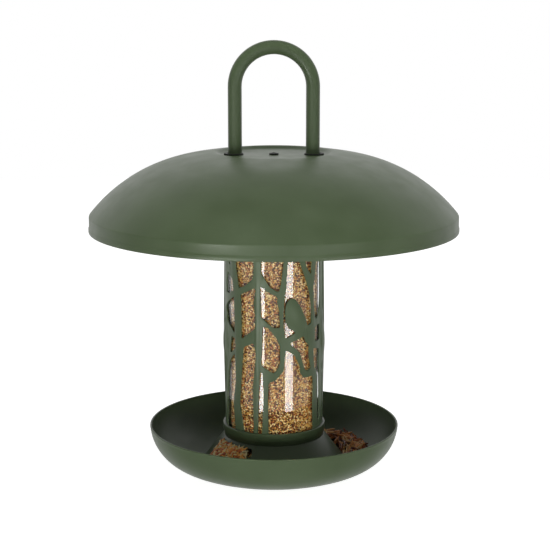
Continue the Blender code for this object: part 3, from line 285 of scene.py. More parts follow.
class Finish:
    """A material with a Principled shader, built up pattern by pattern."""

    def __init__(self, name, roughness, metallic=0.0):
        self.material = bpy.data.materials.new(name)
        self.material.use_nodes = True
        self.tree = self.material.node_tree
        self.shader = self.tree.nodes["Principled BSDF"]
        self.shader.inputs["Roughness"].default_value = roughness
        self.shader.inputs["Metallic"].default_value = metallic
        self.place = self.tree.nodes.new("ShaderNodeTexCoord").outputs["Object"]

    def link(self, source, target):
        """Join two sockets."""
        self.tree.links.new(source, target)

    def stretched(self, scale):
        """Object coordinates with a different scale along each axis."""
        mapping = self.tree.nodes.new("ShaderNodeMapping")
        mapping.inputs["Scale"].default_value = scale
        self.link(self.place, mapping.inputs["Vector"])
        return mapping.outputs["Vector"]

    def noise(self, scale, detail=3.0, place=None):
        """Cloudy variation from 0 to 1."""
        pattern = self.tree.nodes.new("ShaderNodeTexNoise")
        pattern.inputs["Scale"].default_value = scale
        pattern.inputs["Detail"].default_value = detail
        self.link(place or self.place, pattern.inputs["Vector"])
        return pattern.outputs["Fac"]

    def attribute(self, name):
        """A number that the mesh carries for each grain."""
        carried = self.tree.nodes.new("ShaderNodeAttribute")
        carried.attribute_name = name
        return carried.outputs["Fac"]

    def mixed(self, one, other, share):
        """Mix two colours or sockets by a share."""
        mix = self.tree.nodes.new("ShaderNodeMix")
        mix.data_type = "RGBA"
        for value, socket in ((one, mix.inputs[6]), (other, mix.inputs[7]), (share, mix.inputs[0])):
            if isinstance(value, bpy.types.NodeSocket):
                self.link(value, socket)
            else:
                socket.default_value = (*value, 1.0)
        return mix.outputs[2]

    def ranged(self, source, low, high, from_low=0.3, from_high=0.7):
        """Stretch a pattern to a range of numbers."""
        scale = self.tree.nodes.new("ShaderNodeMapRange")
        span = (("From Min", from_low), ("From Max", from_high), ("To Min", low), ("To Max", high))
        for name, value in span:
            scale.inputs[name].default_value = value
        self.link(source, scale.inputs["Value"])
        return scale.outputs["Result"]

    def ramp(self, source, stops):
        """Colours along a pattern."""
        ramp = self.tree.nodes.new("ShaderNodeValToRGB")
        points = ramp.color_ramp.elements
        while len(points) < len(stops):
            points.new(0.5)
        for point, (position, colour) in zip(points, stops):
            point.position = position
            point.color = (*colour, 1.0)
        self.link(source, ramp.inputs["Fac"])
        return ramp.outputs["Color"]

    def bump(self, heights, distance):
        """Raise the surface by one or more patterns, each with its strength."""
        before = None
        for height, strength in heights:
            bump = self.tree.nodes.new("ShaderNodeBump")
            bump.inputs["Strength"].default_value = strength
            bump.inputs["Distance"].default_value = distance
            self.link(height, bump.inputs["Height"])
            if before:
                self.link(before, bump.inputs["Normal"])
            before = bump.outputs["Normal"]
        self.link(before, self.shader.inputs["Normal"])

    def colour(self, source):
        """Set the base colour."""
        self.link(source, self.shader.inputs["Base Color"])

    def gloss(self, source):
        """Set the roughness from a pattern."""
        self.link(source, self.shader.inputs["Roughness"])


# %% [markdown]
# ## Green powder coat
#
# Powder coat melts into a skin with a faint orange peel about a millimetre across. Its colour is even, with a
# slight cloudiness, and its gloss varies a little where hands and dust have been. The casing has a paler copy
# of the coat, whose paler colour is painted light for what its stems and leaves catch. The dish is less
# glossy.

# %% Green powder coat
PAINT_PALE = (0.070, 0.099, 0.049)
PAINT_DEEP = (0.056, 0.082, 0.037)
# The casing's two shades are the same coat painted paler: painted light for what its stems and leaves catch.
CASING_LIT_PALE = (0.084, 0.119, 0.060)
CASING_LIT_DEEP = (0.068, 0.099, 0.047)
PAINT_ROUGHNESS = 0.42
PAINT_SHINE = 0.6
DISH_SHINE = 0.38
CLOUD_SCALE = 38.0
WEAR_SCALE = 75.0
PEEL_SCALE = 820.0
SPECK_SCALE = 1900.0
POWDER_SCALE = 2600.0
PEEL_HEIGHT = 0.00012


def powder_coat(name, deep, pale, shine):
    """Satin powder coat between two close shades."""
    coat = Finish(name, PAINT_ROUGHNESS)
    coat.shader.inputs["Specular IOR Level"].default_value = shine
    clouds = coat.noise(CLOUD_SCALE, 4.0)
    specks = coat.noise(SPECK_SCALE, 2.0)
    wear = coat.noise(WEAR_SCALE, 3.0)
    shade = coat.mixed(deep, pale, coat.ranged(clouds, 0.0, 1.0))
    coat.colour(coat.mixed(shade, pale, coat.ranged(specks, 0.0, 0.35, 0.55, 0.8)))
    coat.gloss(coat.ranged(wear, PAINT_ROUGHNESS - 0.035, PAINT_ROUGHNESS + 0.045))
    coat.bump(((coat.noise(PEEL_SCALE, 2.0), 0.10), (coat.noise(POWDER_SCALE, 2.0), 0.05)), PEEL_HEIGHT)
    return coat.material


green_paint = powder_coat("green_powder_coat", PAINT_DEEP, PAINT_PALE, PAINT_SHINE)
dish_paint = powder_coat("dish_powder_coat", PAINT_DEEP, PAINT_PALE, DISH_SHINE)
# The casing's copy carries painted light.
casing_lit_paint = powder_coat("casing_powder_coat", CASING_LIT_DEEP, CASING_LIT_PALE, PAINT_SHINE)
print("powder coat in three versions")

# %% [markdown]
# ## Zinc plating, blackened steel and rubber
#
# The hidden screws are zinc-plated and faintly brushed. The screw in the crown is black, and the guide rings
# are matt rubber. Each is two close shades mixed by a noise, with a fine bump.

# %% Zinc, blackened steel and rubber
ZINC_SHADES = ((0.50, 0.51, 0.50), (0.64, 0.65, 0.64))
BLACK_STEEL_SHADES = ((0.020, 0.022, 0.018), (0.050, 0.054, 0.046))
RUBBER_SHADES = ((0.010, 0.012, 0.009), (0.024, 0.027, 0.021))
FINE_RELIEF = 0.00008


def zinc_plate():
    """Bright plating with fine scratches and dull patches."""
    zinc = Finish("zinc_plate", 0.34, metallic=1.0)
    zinc.colour(zinc.mixed(*ZINC_SHADES, zinc.ranged(zinc.noise(420.0, 4.0), 0.0, 1.0)))
    scratches = zinc.noise(900.0, 3.0, zinc.stretched((1.0, 1.0, 0.12)))
    zinc.gloss(zinc.ranged(scratches, 0.26, 0.44))
    zinc.bump(((scratches, 0.12),), FINE_RELIEF)
    return zinc.material


def dark_screw():
    """Blackened screw head in the roof's crown."""
    black = Finish("dark_screw", 0.45, metallic=0.6)
    patches = black.noise(700.0, 3.0)
    black.colour(black.mixed(*BLACK_STEEL_SHADES, black.ranged(patches, 0.0, 1.0)))
    black.bump(((patches, 0.15),), FINE_RELIEF)
    return black.material


def guide_rubber():
    """Matt moulded rubber with a fine grain."""
    rubber = Finish("guide_rubber", 0.62)
    grain = rubber.noise(1600.0, 3.0)
    rubber.colour(rubber.mixed(*RUBBER_SHADES, rubber.ranged(grain, 0.0, 1.0)))
    rubber.gloss(rubber.ranged(rubber.noise(300.0), 0.52, 0.70))
    rubber.bump(((grain, 0.22),), 0.00010)
    return rubber.material


zinc = zinc_plate()
screw_black = dark_screw()
rubber = guide_rubber()
print("screws and rings have their finishes")

# %% [markdown]
# ## Clear plastic
#
# The tube is polished clear plastic. A glass shader alone would put the seed behind it in the dark, because
# lamps don't reach through glass. So the shader gives way to a Transparent one for shadow rays.

# %% Clear plastic
PLASTIC_IOR = 1.45
PLASTIC_TINT = (0.985, 0.985, 0.975, 1)


def clear_plastic():
    """Polished clear plastic with faint ripples along its length."""
    clear = Finish("clear_plastic", 0.03)
    clear.shader.inputs["Transmission Weight"].default_value = 1.0
    clear.shader.inputs["IOR"].default_value = PLASTIC_IOR
    clear.shader.inputs["Base Color"].default_value = PLASTIC_TINT
    ripples = clear.noise(55.0, 2.0, clear.stretched((1.0, 1.0, 0.15)))
    clear.gloss(clear.ranged(clear.noise(140.0, 4.0), 0.015, 0.06))
    clear.bump(((ripples, 0.05),), 0.0001)
    passing = clear.tree.nodes.new("ShaderNodeBsdfTransparent")
    choose = clear.tree.nodes.new("ShaderNodeMixShader")
    clear.link(seen_by(clear.tree, "Is Shadow Ray"), choose.inputs["Fac"])
    clear.link(clear.shader.outputs[0], choose.inputs[1])
    clear.link(passing.outputs[0], choose.inputs[2])
    clear.link(choose.outputs[0], clear.tree.nodes["Material Output"].inputs["Surface"])
    return clear.material


clear = clear_plastic()
print("clear plastic bends light by", PLASTIC_IOR)

# %% [markdown]
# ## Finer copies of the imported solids
#
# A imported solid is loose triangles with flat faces. A copy with its points merged and its round sides shaded
# smooth keeps the size and the place. A narrow bevel gives every sheet edge the thin bright line of real
# paint.

# %% Smooth copies
MERGE = 0.000002
FLAT_ENOUGH = math.radians(0.3)
SHARP = 32
BEVEL_FROM = 8                  # a bevel starts this many degrees past the sharp edges


def show(name, mesh, finish, body, replaced):
    """Put a finished mesh into the scene, riding on a body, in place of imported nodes."""
    piece = bpy.data.objects.new(name, mesh)
    mesh.materials.clear()
    mesh.materials.append(finish)
    bpy.context.scene.collection.objects.link(piece)
    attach(piece, body)
    if replaced:
        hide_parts(*replaced)
    print(name, len(mesh.polygons), "faces")
    return piece


def smooth_mesh(work, name, sharp):
    """Turn a finished bmesh into a mesh that is smooth between edges sharper than this many degrees."""
    mesh = plain_mesh(work, name)
    mesh.shade_smooth()
    mesh.set_sharp_from_angle(angle=math.radians(sharp))
    return mesh


def round_edges(piece, width, sharp):
    """A narrow bevel along edges sharper than this many degrees."""
    rounding = piece.modifiers.new("edge", "BEVEL")
    rounding.width = width
    rounding.segments = 2
    rounding.limit_method = "ANGLE"
    rounding.angle_limit = math.radians(sharp)
    rounding.use_clamp_overlap = True


def merged_copy(node):
    """The node's mesh with its loose triangles joined."""
    work = bmesh.new()
    work.from_mesh(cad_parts[node].data)
    bmesh.ops.remove_doubles(work, verts=work.verts, dist=MERGE)
    bmesh.ops.dissolve_limit(work, angle_limit=FLAT_ENOUGH, verts=work.verts, edges=work.edges)
    return work


def smooth_copy(node, finish, body, bevel):
    """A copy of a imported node, shaded smooth between its sharp edges."""
    mesh = smooth_mesh(merged_copy(node), node + "_fine", SHARP)
    piece = show(node + "_fine", mesh, finish, body, [node])
    if bevel:
        round_edges(piece, bevel, SHARP + BEVEL_FROM)


# %% [markdown]
# ## Turned pieces
#
# Roof and dish are spun from sheet, so a half section turned round the axis is the whole story. The sections
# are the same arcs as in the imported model, with many more steps.

# %% Sections made of arcs


def arc(centre, radius, start, end, steps):
    """Points of a round stretch of a section."""
    points = []
    for step in range(steps + 1):
        angle = start + (end - start) * step / steps
        points.append((centre[0] + radius * math.cos(angle), centre[1] + radius * math.sin(angle)))
    return points


def moved_inwards(curve, distance):
    """The same curve moved square to itself, towards the inside of the sheet."""
    moved = []
    for index, point in enumerate(curve):
        before = Vector(curve[max(index - 1, 0)])
        after = Vector(curve[min(index + 1, len(curve) - 1)])
        along = (after - before).normalized()
        moved.append((point[0] - along.y * distance, point[1] + along.x * distance))
    return moved


# %% [markdown]
# Each point of a section becomes a ring of points round the axis, and faces join every ring with the next. A
# point on the axis itself stays a single point, where the faces are triangles.

# %% Rings of points
TURN_STEPS = 192
TURNED_SHARP = 40


def level_ring(work, middle, radius, height, steps):
    """New points in a level circle round a middle on the X axis."""
    ring = []
    for step in range(steps):
        angle = 2 * math.pi * step / steps
        ring.append(work.verts.new((middle + radius * math.cos(angle), radius * math.sin(angle), height)))
    return ring


def skin(work, rings, closed):
    """Faces from each ring to the next, and from the last to the first where the section is closed."""
    following = rings[1:] + rings[:1] if closed else rings[1:]
    for ring, other in zip(rings, following):
        steps = max(len(ring), len(other))
        for step in range(steps if steps > 1 else 0):
            after = (step + 1) % steps
            if len(ring) == 1:
                work.faces.new((ring[0], other[after], other[step]))
            elif len(other) == 1:
                work.faces.new((ring[step], ring[after], other[0]))
            else:
                work.faces.new((ring[step], ring[after], other[after], other[step]))


def turned(name, section, steps=TURN_STEPS, sharp=TURNED_SHARP):
    """A closed half section turned round the upright axis. A radius of nought makes a pole."""
    work = bmesh.new()
    rings = []
    for radius, height in section:
        rings.append(level_ring(work, 0.0, radius, height, steps if radius else 1))
    skin(work, rings, True)
    bmesh.ops.recalc_face_normals(work, faces=work.faces)
    if work.calc_volume(signed=True) < 0:
        bmesh.ops.reverse_faces(work, faces=work.faces)
    return smooth_mesh(work, name, sharp)


# %% [markdown]
# ## The roof
#
# The roof is one sheet. An upright band with a hem runs round its edge, a rounded fold leads over into the
# shoulder, and a flat crown sinks a little round the screw. The hem is the sheet's own edge folded up inside.

# %% Roof section
roof_low, roof_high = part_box("roof_dome")
SHEET = 0.0010
ROOF_RADIUS = roof_high.x
BAND_INSET = 0.0004
BAND_HEIGHT = 0.0095
FOLD_BEND = 0.0022
SHOULDER_SLOPE = math.radians(51)
SHOULDER_BEND = 0.1087
CROWN_SLOPE = math.radians(9.6)
CROWN_BEND = 0.3215
FOLD_STEPS = 8
SHOULDER_STEPS = 28
CROWN_STEPS = 6
RECESS_RADIUS = 0.04005
RECESS_FLOOR = 0.03455
RECESS_DEPTH = 0.0021
RECESS_STEPS = 10
HEM_HEIGHT = 0.0035
HEM_FOLD = 0.0007
HEM_ROUNDING = 0.0003


def roof_section():
    """Outer half section from the hemmed edge over the shoulder to the sunk crown."""
    band = ROOF_RADIUS - BAND_INSET
    lean = math.pi / 2 - SHOULDER_SLOPE
    hem = [(ROOF_RADIUS - 0.0001, 0.0), (ROOF_RADIUS, HEM_ROUNDING), (ROOF_RADIUS, HEM_HEIGHT - 0.0012)]
    hem += [(band + 0.0001, HEM_HEIGHT - 0.0002), (band, HEM_HEIGHT + 0.0004)]
    fold = arc((band - FOLD_BEND, BAND_HEIGHT), FOLD_BEND, 0, lean, FOLD_STEPS)
    start = fold[-1]
    centre = (start[0] - SHOULDER_BEND * math.cos(lean), start[1] - SHOULDER_BEND * math.sin(lean))
    top = math.pi / 2 - CROWN_SLOPE
    shoulder = arc(centre, SHOULDER_BEND, lean, top, SHOULDER_STEPS)
    end = shoulder[-1]
    crown_centre = (end[0] - CROWN_BEND * math.cos(top), end[1] - CROWN_BEND * math.sin(top))
    crown_end = math.acos((RECESS_RADIUS - crown_centre[0]) / CROWN_BEND)
    crown = arc(crown_centre, CROWN_BEND, top, crown_end, CROWN_STEPS)
    edge = crown[-1]
    recess = []
    for part in range(1, RECESS_STEPS + 1):
        share = part / RECESS_STEPS
        sunk = (1 - math.cos(math.pi * share)) / 2
        recess.append((edge[0] + (RECESS_FLOOR - edge[0]) * share, edge[1] - RECESS_DEPTH * sunk))
    return hem + fold + shoulder[1:] + crown[1:] + recess


outline = roof_section()
print("roof section", len(outline), "points,", round(outline[-1][1] * 1000, 2), "mm high at the crown")

# %% [markdown]
# The inside is the same curve one sheet further in. It ends above the hem, where the folded edge takes over.

# %% Roof
roof_bottom = roof_low.z
outside = [(radius, height + roof_bottom) for radius, height in outline]
inside = moved_inwards(outside, SHEET)
crown_floor = outside[-1][1]
under_floor = crown_floor - SHEET
hem_top = roof_bottom + HEM_HEIGHT
inside = [point for point in inside if point[1] > hem_top and point[0] > RECESS_FLOOR]
hem_inside = ROOF_RADIUS - SHEET - HEM_FOLD
roof_back = [(RECESS_FLOOR, under_floor)] + inside[::-1]
roof_back += [(ROOF_RADIUS - BAND_INSET - SHEET, hem_top), (hem_inside, hem_top - 0.0006)]
roof_back += [(hem_inside, roof_bottom + HEM_ROUNDING), (hem_inside + HEM_ROUNDING, roof_bottom)]
roof_profile = outside + [(0.0, crown_floor), (0.0, under_floor)] + roof_back
roof_mesh = turned("roof_shell", roof_profile)
roof = show("roof_shell", roof_mesh, green_paint, "roof", ["roof_dome"])
print("crown floor at", round(crown_floor * 1000, 2), "mm")

# %% [markdown]
# The legs and their rings pass through the crown, so it needs two round holes. A Boolean cuts them, and it is
# applied so that the roof is a plain mesh.

# %% Holes for the rings
hoop_low, hoop_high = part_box("handle_hoop")
leg_radius = hoop_high.y
leg_offset = hoop_high.x - leg_radius
leg_places = ((-leg_offset, 0.0), (leg_offset, 0.0))
RING_HOLE_GAP = 0.0012
DRILL_STEPS = 48
DRILL_MARGIN = 0.001


def cut_holes(piece, radius, low, high, centres):
    """Drill upright round holes through a piece."""
    work = bmesh.new()
    for x, y in centres:
        place = Matrix.Translation((x, y, (low + high) / 2))
        bmesh.ops.create_cone(work, cap_ends=True, segments=DRILL_STEPS, radius1=radius, radius2=radius,
                              depth=high - low, matrix=place)
    drill = bpy.data.objects.new("drill", plain_mesh(work, "drill"))
    bpy.context.scene.collection.objects.link(drill)
    cut = piece.modifiers.new("holes", "BOOLEAN")
    cut.operation = "DIFFERENCE"
    cut.solver = "EXACT"
    cut.object = drill
    evaluated = piece.evaluated_get(bpy.context.evaluated_depsgraph_get())
    result = bpy.data.meshes.new_from_object(evaluated)
    result.name = piece.data.name
    piece.modifiers.remove(cut)
    piece.data = result
    bpy.data.objects.remove(drill, do_unlink=True)
    print(piece.name, "drilled", len(centres), "holes")


drill_low = under_floor - DRILL_MARGIN
drill_high = crown_floor + DRILL_MARGIN
cut_holes(roof, leg_radius + RING_HOLE_GAP, drill_low, drill_high, leg_places)

# %% [markdown]
# ## The dish
#
# The dish is spun from thicker sheet: a wide floor, a tightly rounded wall and a rim rolled to a bead, which
# catches the light as a thin line. A small boss in the middle of its floor makes room for the nut underneath.

# %% Dish curves
DISH_SHEET = 0.0012
DISH_RADIUS = 0.0860
DISH_FOOT = 0.0305
DISH_FLOOR_BEND = 0.0950
DISH_WALL_BEND = 0.0302
DISH_RIM_SLOPE = math.radians(85.3)
DISH_FLOOR_STEPS = 14
DISH_WALL_STEPS = 22


def dish_curve(inset):
    """Half section of the dish from foot to rim, moved inwards by the inset."""
    reach = DISH_RADIUS - DISH_FOOT - DISH_WALL_BEND * math.sin(DISH_RIM_SLOPE)
    slope = math.asin(reach / (DISH_FLOOR_BEND - DISH_WALL_BEND))
    radius = DISH_FOOT + DISH_FLOOR_BEND * math.sin(slope)
    height = DISH_FLOOR_BEND * (1 - math.cos(slope))
    wall_centre = (radius - DISH_WALL_BEND * math.sin(slope), height + DISH_WALL_BEND * math.cos(slope))
    down = -math.pi / 2
    turn = down + slope
    foot = arc((DISH_FOOT, DISH_FLOOR_BEND), DISH_FLOOR_BEND - inset, down, turn, DISH_FLOOR_STEPS)
    wall = arc(wall_centre, DISH_WALL_BEND - inset, turn, down + DISH_RIM_SLOPE, DISH_WALL_STEPS)
    return foot + wall[1:]


dish_outside = dish_curve(0)
dish_inside = dish_curve(DISH_SHEET)
print("dish", round(dish_outside[-1][1] * 1000, 1), "mm deep to the foot of its bead")

# %% [markdown]
# Foot, outside, bead and inside join to one closed section round the bolt's hole.

# %% Dish
DISH_BEAD = 0.0007
BEAD_STEPS = 12
BOSS_RADIUS = 0.0110
BOSS_HEIGHT = 0.0050
BOSS_RUN = 0.0030
BOLT_HOLE = 0.0028

rim_middle = ((dish_outside[-1][0] + dish_inside[-1][0]) / 2, dish_outside[-1][1] + DISH_BEAD * 0.5)
bead = arc(rim_middle, DISH_BEAD, math.radians(-40), math.radians(220), BEAD_STEPS)
boss_foot = BOSS_RADIUS + BOSS_RUN
boss_top = BOSS_HEIGHT + DISH_SHEET
dish_profile = [(BOLT_HOLE, BOSS_HEIGHT), (BOSS_RADIUS, BOSS_HEIGHT), (boss_foot, 0)]
dish_profile += dish_outside[:-1] + bead + dish_inside[::-1][1:]
dish_profile += [(boss_foot + DISH_SHEET / 2, DISH_SHEET), (BOSS_RADIUS + DISH_SHEET / 2, boss_top)]
dish_profile += [(BOLT_HOLE, boss_top)]
show("dish_shell", turned("dish_shell", dish_profile), dish_paint, "feeder", ["dish"])

# %% [markdown]
# ## Collar, skirt, cup and screws
#
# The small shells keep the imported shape, and only their shading and their edges get finer. The screws, nuts
# and plugs stay as they are packed and take the zinc plating.

# %% Smooth copies of the small shells
SHELL_BEVEL = 0.0003

for node, body, bevel in (("base_collar", "feeder", SHELL_BEVEL), ("port_base", "feeder", SHELL_BEVEL),
                          ("mouth_ring", "feeder", SHELL_BEVEL), ("handle_bridge", "feeder", SHELL_BEVEL),
                          ("seed_cone", "feeder", 0.0), ("lid_cup", "roof", SHELL_BEVEL)):
    smooth_copy(node, green_paint, body, bevel)
fasteners = ("collar_screw", "ring_screw", "leg_screw", "leg_plug", "dish_bolt", "dish_nut", "lid_nut")
for node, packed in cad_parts.items():
    if node.startswith(fasteners):
        packed.data.materials.clear()
        packed.data.materials.append(zinc)

# %% [markdown]
# ## The branch casing
#
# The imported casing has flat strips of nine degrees. Its copy is sliced into narrow strips, and every point is
# put back on the true cylinder, so the sheet turns round. The leaves bulge like the bowl of a spoon, and each
# is there twice, half a turn apart.

# %% Leaves
CASING_RADIUS = 0.0336
LEAF_RISE = 0.0016
LOWER_BAND = 0.0066
STEP_HEIGHT = 0.001
# A leaf is (degrees right of the front, steps up, half length, half width, degrees of lean).
LEAVES = ((26, 81.5, 0.0140, 0.0080, 37), (82, 57, 0.0160, 0.0066, -6), (-79.5, 58, 0.0145, 0.0088, 0))


def leaf_bulge(bearing, height):
    """How far the sheet stands proud at a bearing and height."""
    for degrees, steps, half_length, half_width, lean in LEAVES:
        for half_turn in (0, math.pi):
            aside = (bearing - math.radians(degrees) - half_turn + math.pi) % (2 * math.pi) - math.pi
            offset = Vector((aside * CASING_RADIUS, height - LOWER_BAND - steps * STEP_HEIGHT))
            direction = Vector((-math.sin(math.radians(lean)), math.cos(math.radians(lean))))
            along = offset.dot(direction) / half_length
            across = (offset.x * direction.y - offset.y * direction.x) / half_width
            share = along * along + across * across
            if share < 1:
                return LEAF_RISE * (1 - share)
    return 0.0


print("a leaf's middle stands", LEAF_RISE * 1000, "mm proud")

# %% [markdown]
# Bisect Plane makes the cuts: planes through the axis for the strips, and level ones through the leaves, so
# that the bulge has enough points. A face near the height of a cut and on a leaf takes part in it. Edges and
# points are gathered as the keys of a dictionary, which keeps their order, so that every run gives the same.

# %% Slices
casing_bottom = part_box("branch_casing")[0].z
STRIPS = 160
LEAF_SLICE = 0.0014
SLICE_REACH = 0.006
CUT_DISTANCE = 1e-6


def slice_mesh(work, faces, place, normal):
    """Cut faces along a plane and keep both halves."""
    edges = dict.fromkeys(edge for face in faces for edge in face.edges)
    corners = dict.fromkeys(corner for face in faces for corner in face.verts)
    bmesh.ops.bisect_plane(work, geom=list(faces) + list(edges) + list(corners), dist=CUT_DISTANCE,
                           plane_co=place, plane_no=normal)


def sliced_casing():
    """The casing's copy, cut into narrow strips, and level slices through the leaves."""
    work = merged_copy("branch_casing")
    for strip in range(STRIPS // 2):
        angle = 2 * math.pi * strip / STRIPS
        slice_mesh(work, list(work.faces), (0, 0, 0), (math.cos(angle), math.sin(angle), 0))
    spans = [(LOWER_BAND + steps * STEP_HEIGHT, half_length) for _, steps, half_length, _, _ in LEAVES]
    lowest = min(middle - half for middle, half in spans)
    highest = max(middle + half for middle, half in spans)
    for index in range(int((highest - lowest) / LEAF_SLICE) + 1):
        height = lowest + index * LEAF_SLICE
        level = casing_bottom + height
        near = []
        for face in work.faces:
            middle = face.calc_center_median()
            bearing = math.atan2(middle.x, -middle.y)
            if abs(middle.z - level) < SLICE_REACH and leaf_bulge(bearing, middle.z - casing_bottom) > 0:
                near.append(face)
        slice_mesh(work, near, (0, 0, level), (0, 0, 1))
    return work


casing_work = sliced_casing()
print("casing sliced into", len(casing_work.faces), "faces")

# %% [markdown]
# A point belongs to the outer side if one of its faces looks outwards, and else to the inner side. Both sides
# move by the same bulge, so the sheet keeps its thickness.

# %% Branch casing
CASING_SHEET = 0.0008
FACING = 0.15
CASING_SHARP = 38
CASING_BEVEL = 0.00022
CASING_BEVEL_FROM = 46


def put_round(work):
    """Put every point back on the outer or inner cylinder, raised where a leaf is."""
    work.normal_update()
    for corner in work.verts:
        out = Vector((corner.co.x, corner.co.y, 0)).normalized()
        facing = [face.normal.dot(out) for face in corner.link_faces]
        if max(facing) > FACING:
            inset = 0.0
        elif min(facing) < -FACING:
            inset = CASING_SHEET
        else:
            continue
        bearing = math.atan2(corner.co.x, -corner.co.y)
        radius = CASING_RADIUS - inset + leaf_bulge(bearing, corner.co.z - casing_bottom)
        corner.co = out * radius + Vector((0, 0, corner.co.z))


put_round(casing_work)
casing_mesh = smooth_mesh(casing_work, "branch_casing_fine", CASING_SHARP)
casing = show("branch_casing_fine", casing_mesh, casing_lit_paint, "feeder", ["branch_casing"])
round_edges(casing, CASING_BEVEL, CASING_BEVEL_FROM)

# %% [markdown]
# ## The clear tube
#
# The tube stands inside the casing and is a plain pipe with slightly rounded ends. It is turned like the
# roof, from a section that lies wholly off the axis.

# %% Clear tube
tube_low, tube_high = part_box("seed_tube")
tube_radius = tube_high.x
TUBE_WALL = 0.0023
TUBE_ROUNDING = 0.0003
TUBE_STEPS = 144

tube_inside = tube_radius - TUBE_WALL
tube_profile = [
    (tube_inside, tube_low.z + TUBE_ROUNDING), (tube_inside + TUBE_ROUNDING, tube_low.z),
    (tube_radius - TUBE_ROUNDING, tube_low.z), (tube_radius, tube_low.z + TUBE_ROUNDING),
    (tube_radius, tube_high.z - TUBE_ROUNDING), (tube_radius - TUBE_ROUNDING, tube_high.z),
    (tube_inside + TUBE_ROUNDING, tube_high.z), (tube_inside, tube_high.z - TUBE_ROUNDING),
]
tube_mesh = turned("seed_tube_fine", tube_profile, TUBE_STEPS)
show("seed_tube_fine", tube_mesh, clear, "feeder", ["seed_tube"])

# %% [markdown]
# ## Geometry Nodes from a script
#
# Handle, seed and mealworms are grown by trees of geometry nodes. Three helpers keep those short: one starts
# a tree, one adds a node with its settings and sockets, and one runs the finished tree and keeps the result
# as a mesh.

# %% A helper for node trees


def node_tree(name, inputs):
    """A geometry tree with a geometry input, named inputs and a geometry output."""
    tree = bpy.data.node_groups.new(name, "GeometryNodeTree")
    tree.interface.new_socket("Geometry", in_out="INPUT", socket_type="NodeSocketGeometry")
    for label, kind in inputs:
        tree.interface.new_socket(label, in_out="INPUT", socket_type="NodeSocket" + kind)
    tree.interface.new_socket("Geometry", in_out="OUTPUT", socket_type="NodeSocketGeometry")
    start = tree.nodes.new("NodeGroupInput")
    end = tree.nodes.new("NodeGroupOutput")
    return tree, start, end


def step(tree, kind, settings=None, **sockets):
    """Add a node. A socket value may be a number or another node's socket."""
    node = tree.nodes.new(kind)
    for name, value in (settings or {}).items():
        setattr(node, name, value)
    for name, value in sockets.items():
        socket = node.inputs[name.replace("_", " ")]
        if isinstance(value, bpy.types.NodeSocket):
            tree.links.new(value, socket)
        else:
            socket.default_value = value
    return node


def grown(base, tree, values, name):
    """Run a tree on a base object and return the result as a plain mesh."""
    modifier = base.modifiers.new("grow", "NODES")
    modifier.node_group = tree
    for item in tree.interface.items_tree:
        if item.in_out == "INPUT" and item.name in values:
            modifier[item.identifier] = values[item.name]
    evaluated = base.evaluated_get(bpy.context.evaluated_depsgraph_get())
    mesh = bpy.data.meshes.new_from_object(evaluated)
    mesh.name = name
    base.modifiers.remove(modifier)
    return mesh


# %% [markdown]
# ## The handle
#
# The handle is one round tube along a path: up a leg, over a half circle and down the other leg. Curve to
# Mesh sweeps a circle along that path, so the tree needs only the tube's radius. It ends in Realize Instances
# and Set Material, like every tree here.

# %% The bent tube's tree
TUBE_SIDES = 40

hoop_tree, hoop_in, hoop_out = node_tree("bent_tube", (("Tube Radius", "Float"), ("Finish", "Material")))
outer_circle = step(hoop_tree, "GeometryNodeCurvePrimitiveCircle", Resolution=TUBE_SIDES,
                    Radius=hoop_in.outputs["Tube Radius"])
swept = step(hoop_tree, "GeometryNodeCurveToMesh", Curve=hoop_in.outputs["Geometry"],
             Profile_Curve=outer_circle.outputs["Curve"], Fill_Caps=True)
soft = step(hoop_tree, "GeometryNodeSetShadeSmooth", Geometry=swept.outputs["Mesh"])
whole = step(hoop_tree, "GeometryNodeRealizeInstances", Geometry=soft.outputs["Geometry"])
painted = step(hoop_tree, "GeometryNodeSetMaterial", Geometry=whole.outputs["Geometry"],
               Material=hoop_in.outputs["Finish"])
hoop_tree.links.new(painted.outputs["Geometry"], hoop_out.inputs["Geometry"])
print("bent tube", len(hoop_tree.nodes), "nodes")

# %% [markdown]
# The path is a curve object made of straight pieces, 48 of them round the bend. It goes away once the tube is
# grown.

# %% Handle
BEND_STEPS = 48

bend_centre = hoop_high.z - leg_radius - leg_offset
path_points = [(-leg_offset, hoop_low.z)]
path_points += arc((0, bend_centre), leg_offset, math.pi, 0, BEND_STEPS)
path_points.append((leg_offset, hoop_low.z))
path_curve = bpy.data.curves.new("handle_path", "CURVE")
path_curve.dimensions = "3D"
spline = path_curve.splines.new("POLY")
spline.points.add(len(path_points) - 1)
for point, (x, z) in zip(spline.points, path_points):
    point.co = (x, 0, z, 1)
handle_path = bpy.data.objects.new("handle_path", path_curve)
bpy.context.scene.collection.objects.link(handle_path)
hoop_mesh = grown(handle_path, hoop_tree, {"Tube Radius": leg_radius, "Finish": green_paint}, "handle_tube")
hoop_mesh.set_sharp_from_angle(angle=math.radians(TURNED_SHARP))
bpy.data.objects.remove(handle_path, do_unlink=True)
show("handle_tube", hoop_mesh, green_paint, "feeder", ["handle_hoop"])

# %% [markdown]
# ## The guide rings
#
# A moulded ring lines each hole in the roof, so that the sheet doesn't scrape the leg. Its rounded flange
# sits slightly further out than the leg, as in the photograph. So the levels of this section are circles
# round middles of their own, and the leg still passes through the same bore.

# %% Guide rings
ring_low, ring_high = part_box("guide_ring_right")
RING_STEPS = 56
RING_SHARP = 50
FLANGE_RADIUS = 0.0066
FLANGE_SHIFT = 0.0010
FLANGE_HEIGHT = 0.0008
FLANGE_ROUNDING = FLANGE_HEIGHT * 0.6
RING_GAP = 0.0003
BORE_ROUNDING = 0.0003
NECK_WALL = 0.0006
FOOT_RADIUS = 0.0068
FOOT_HEIGHT = 0.0010


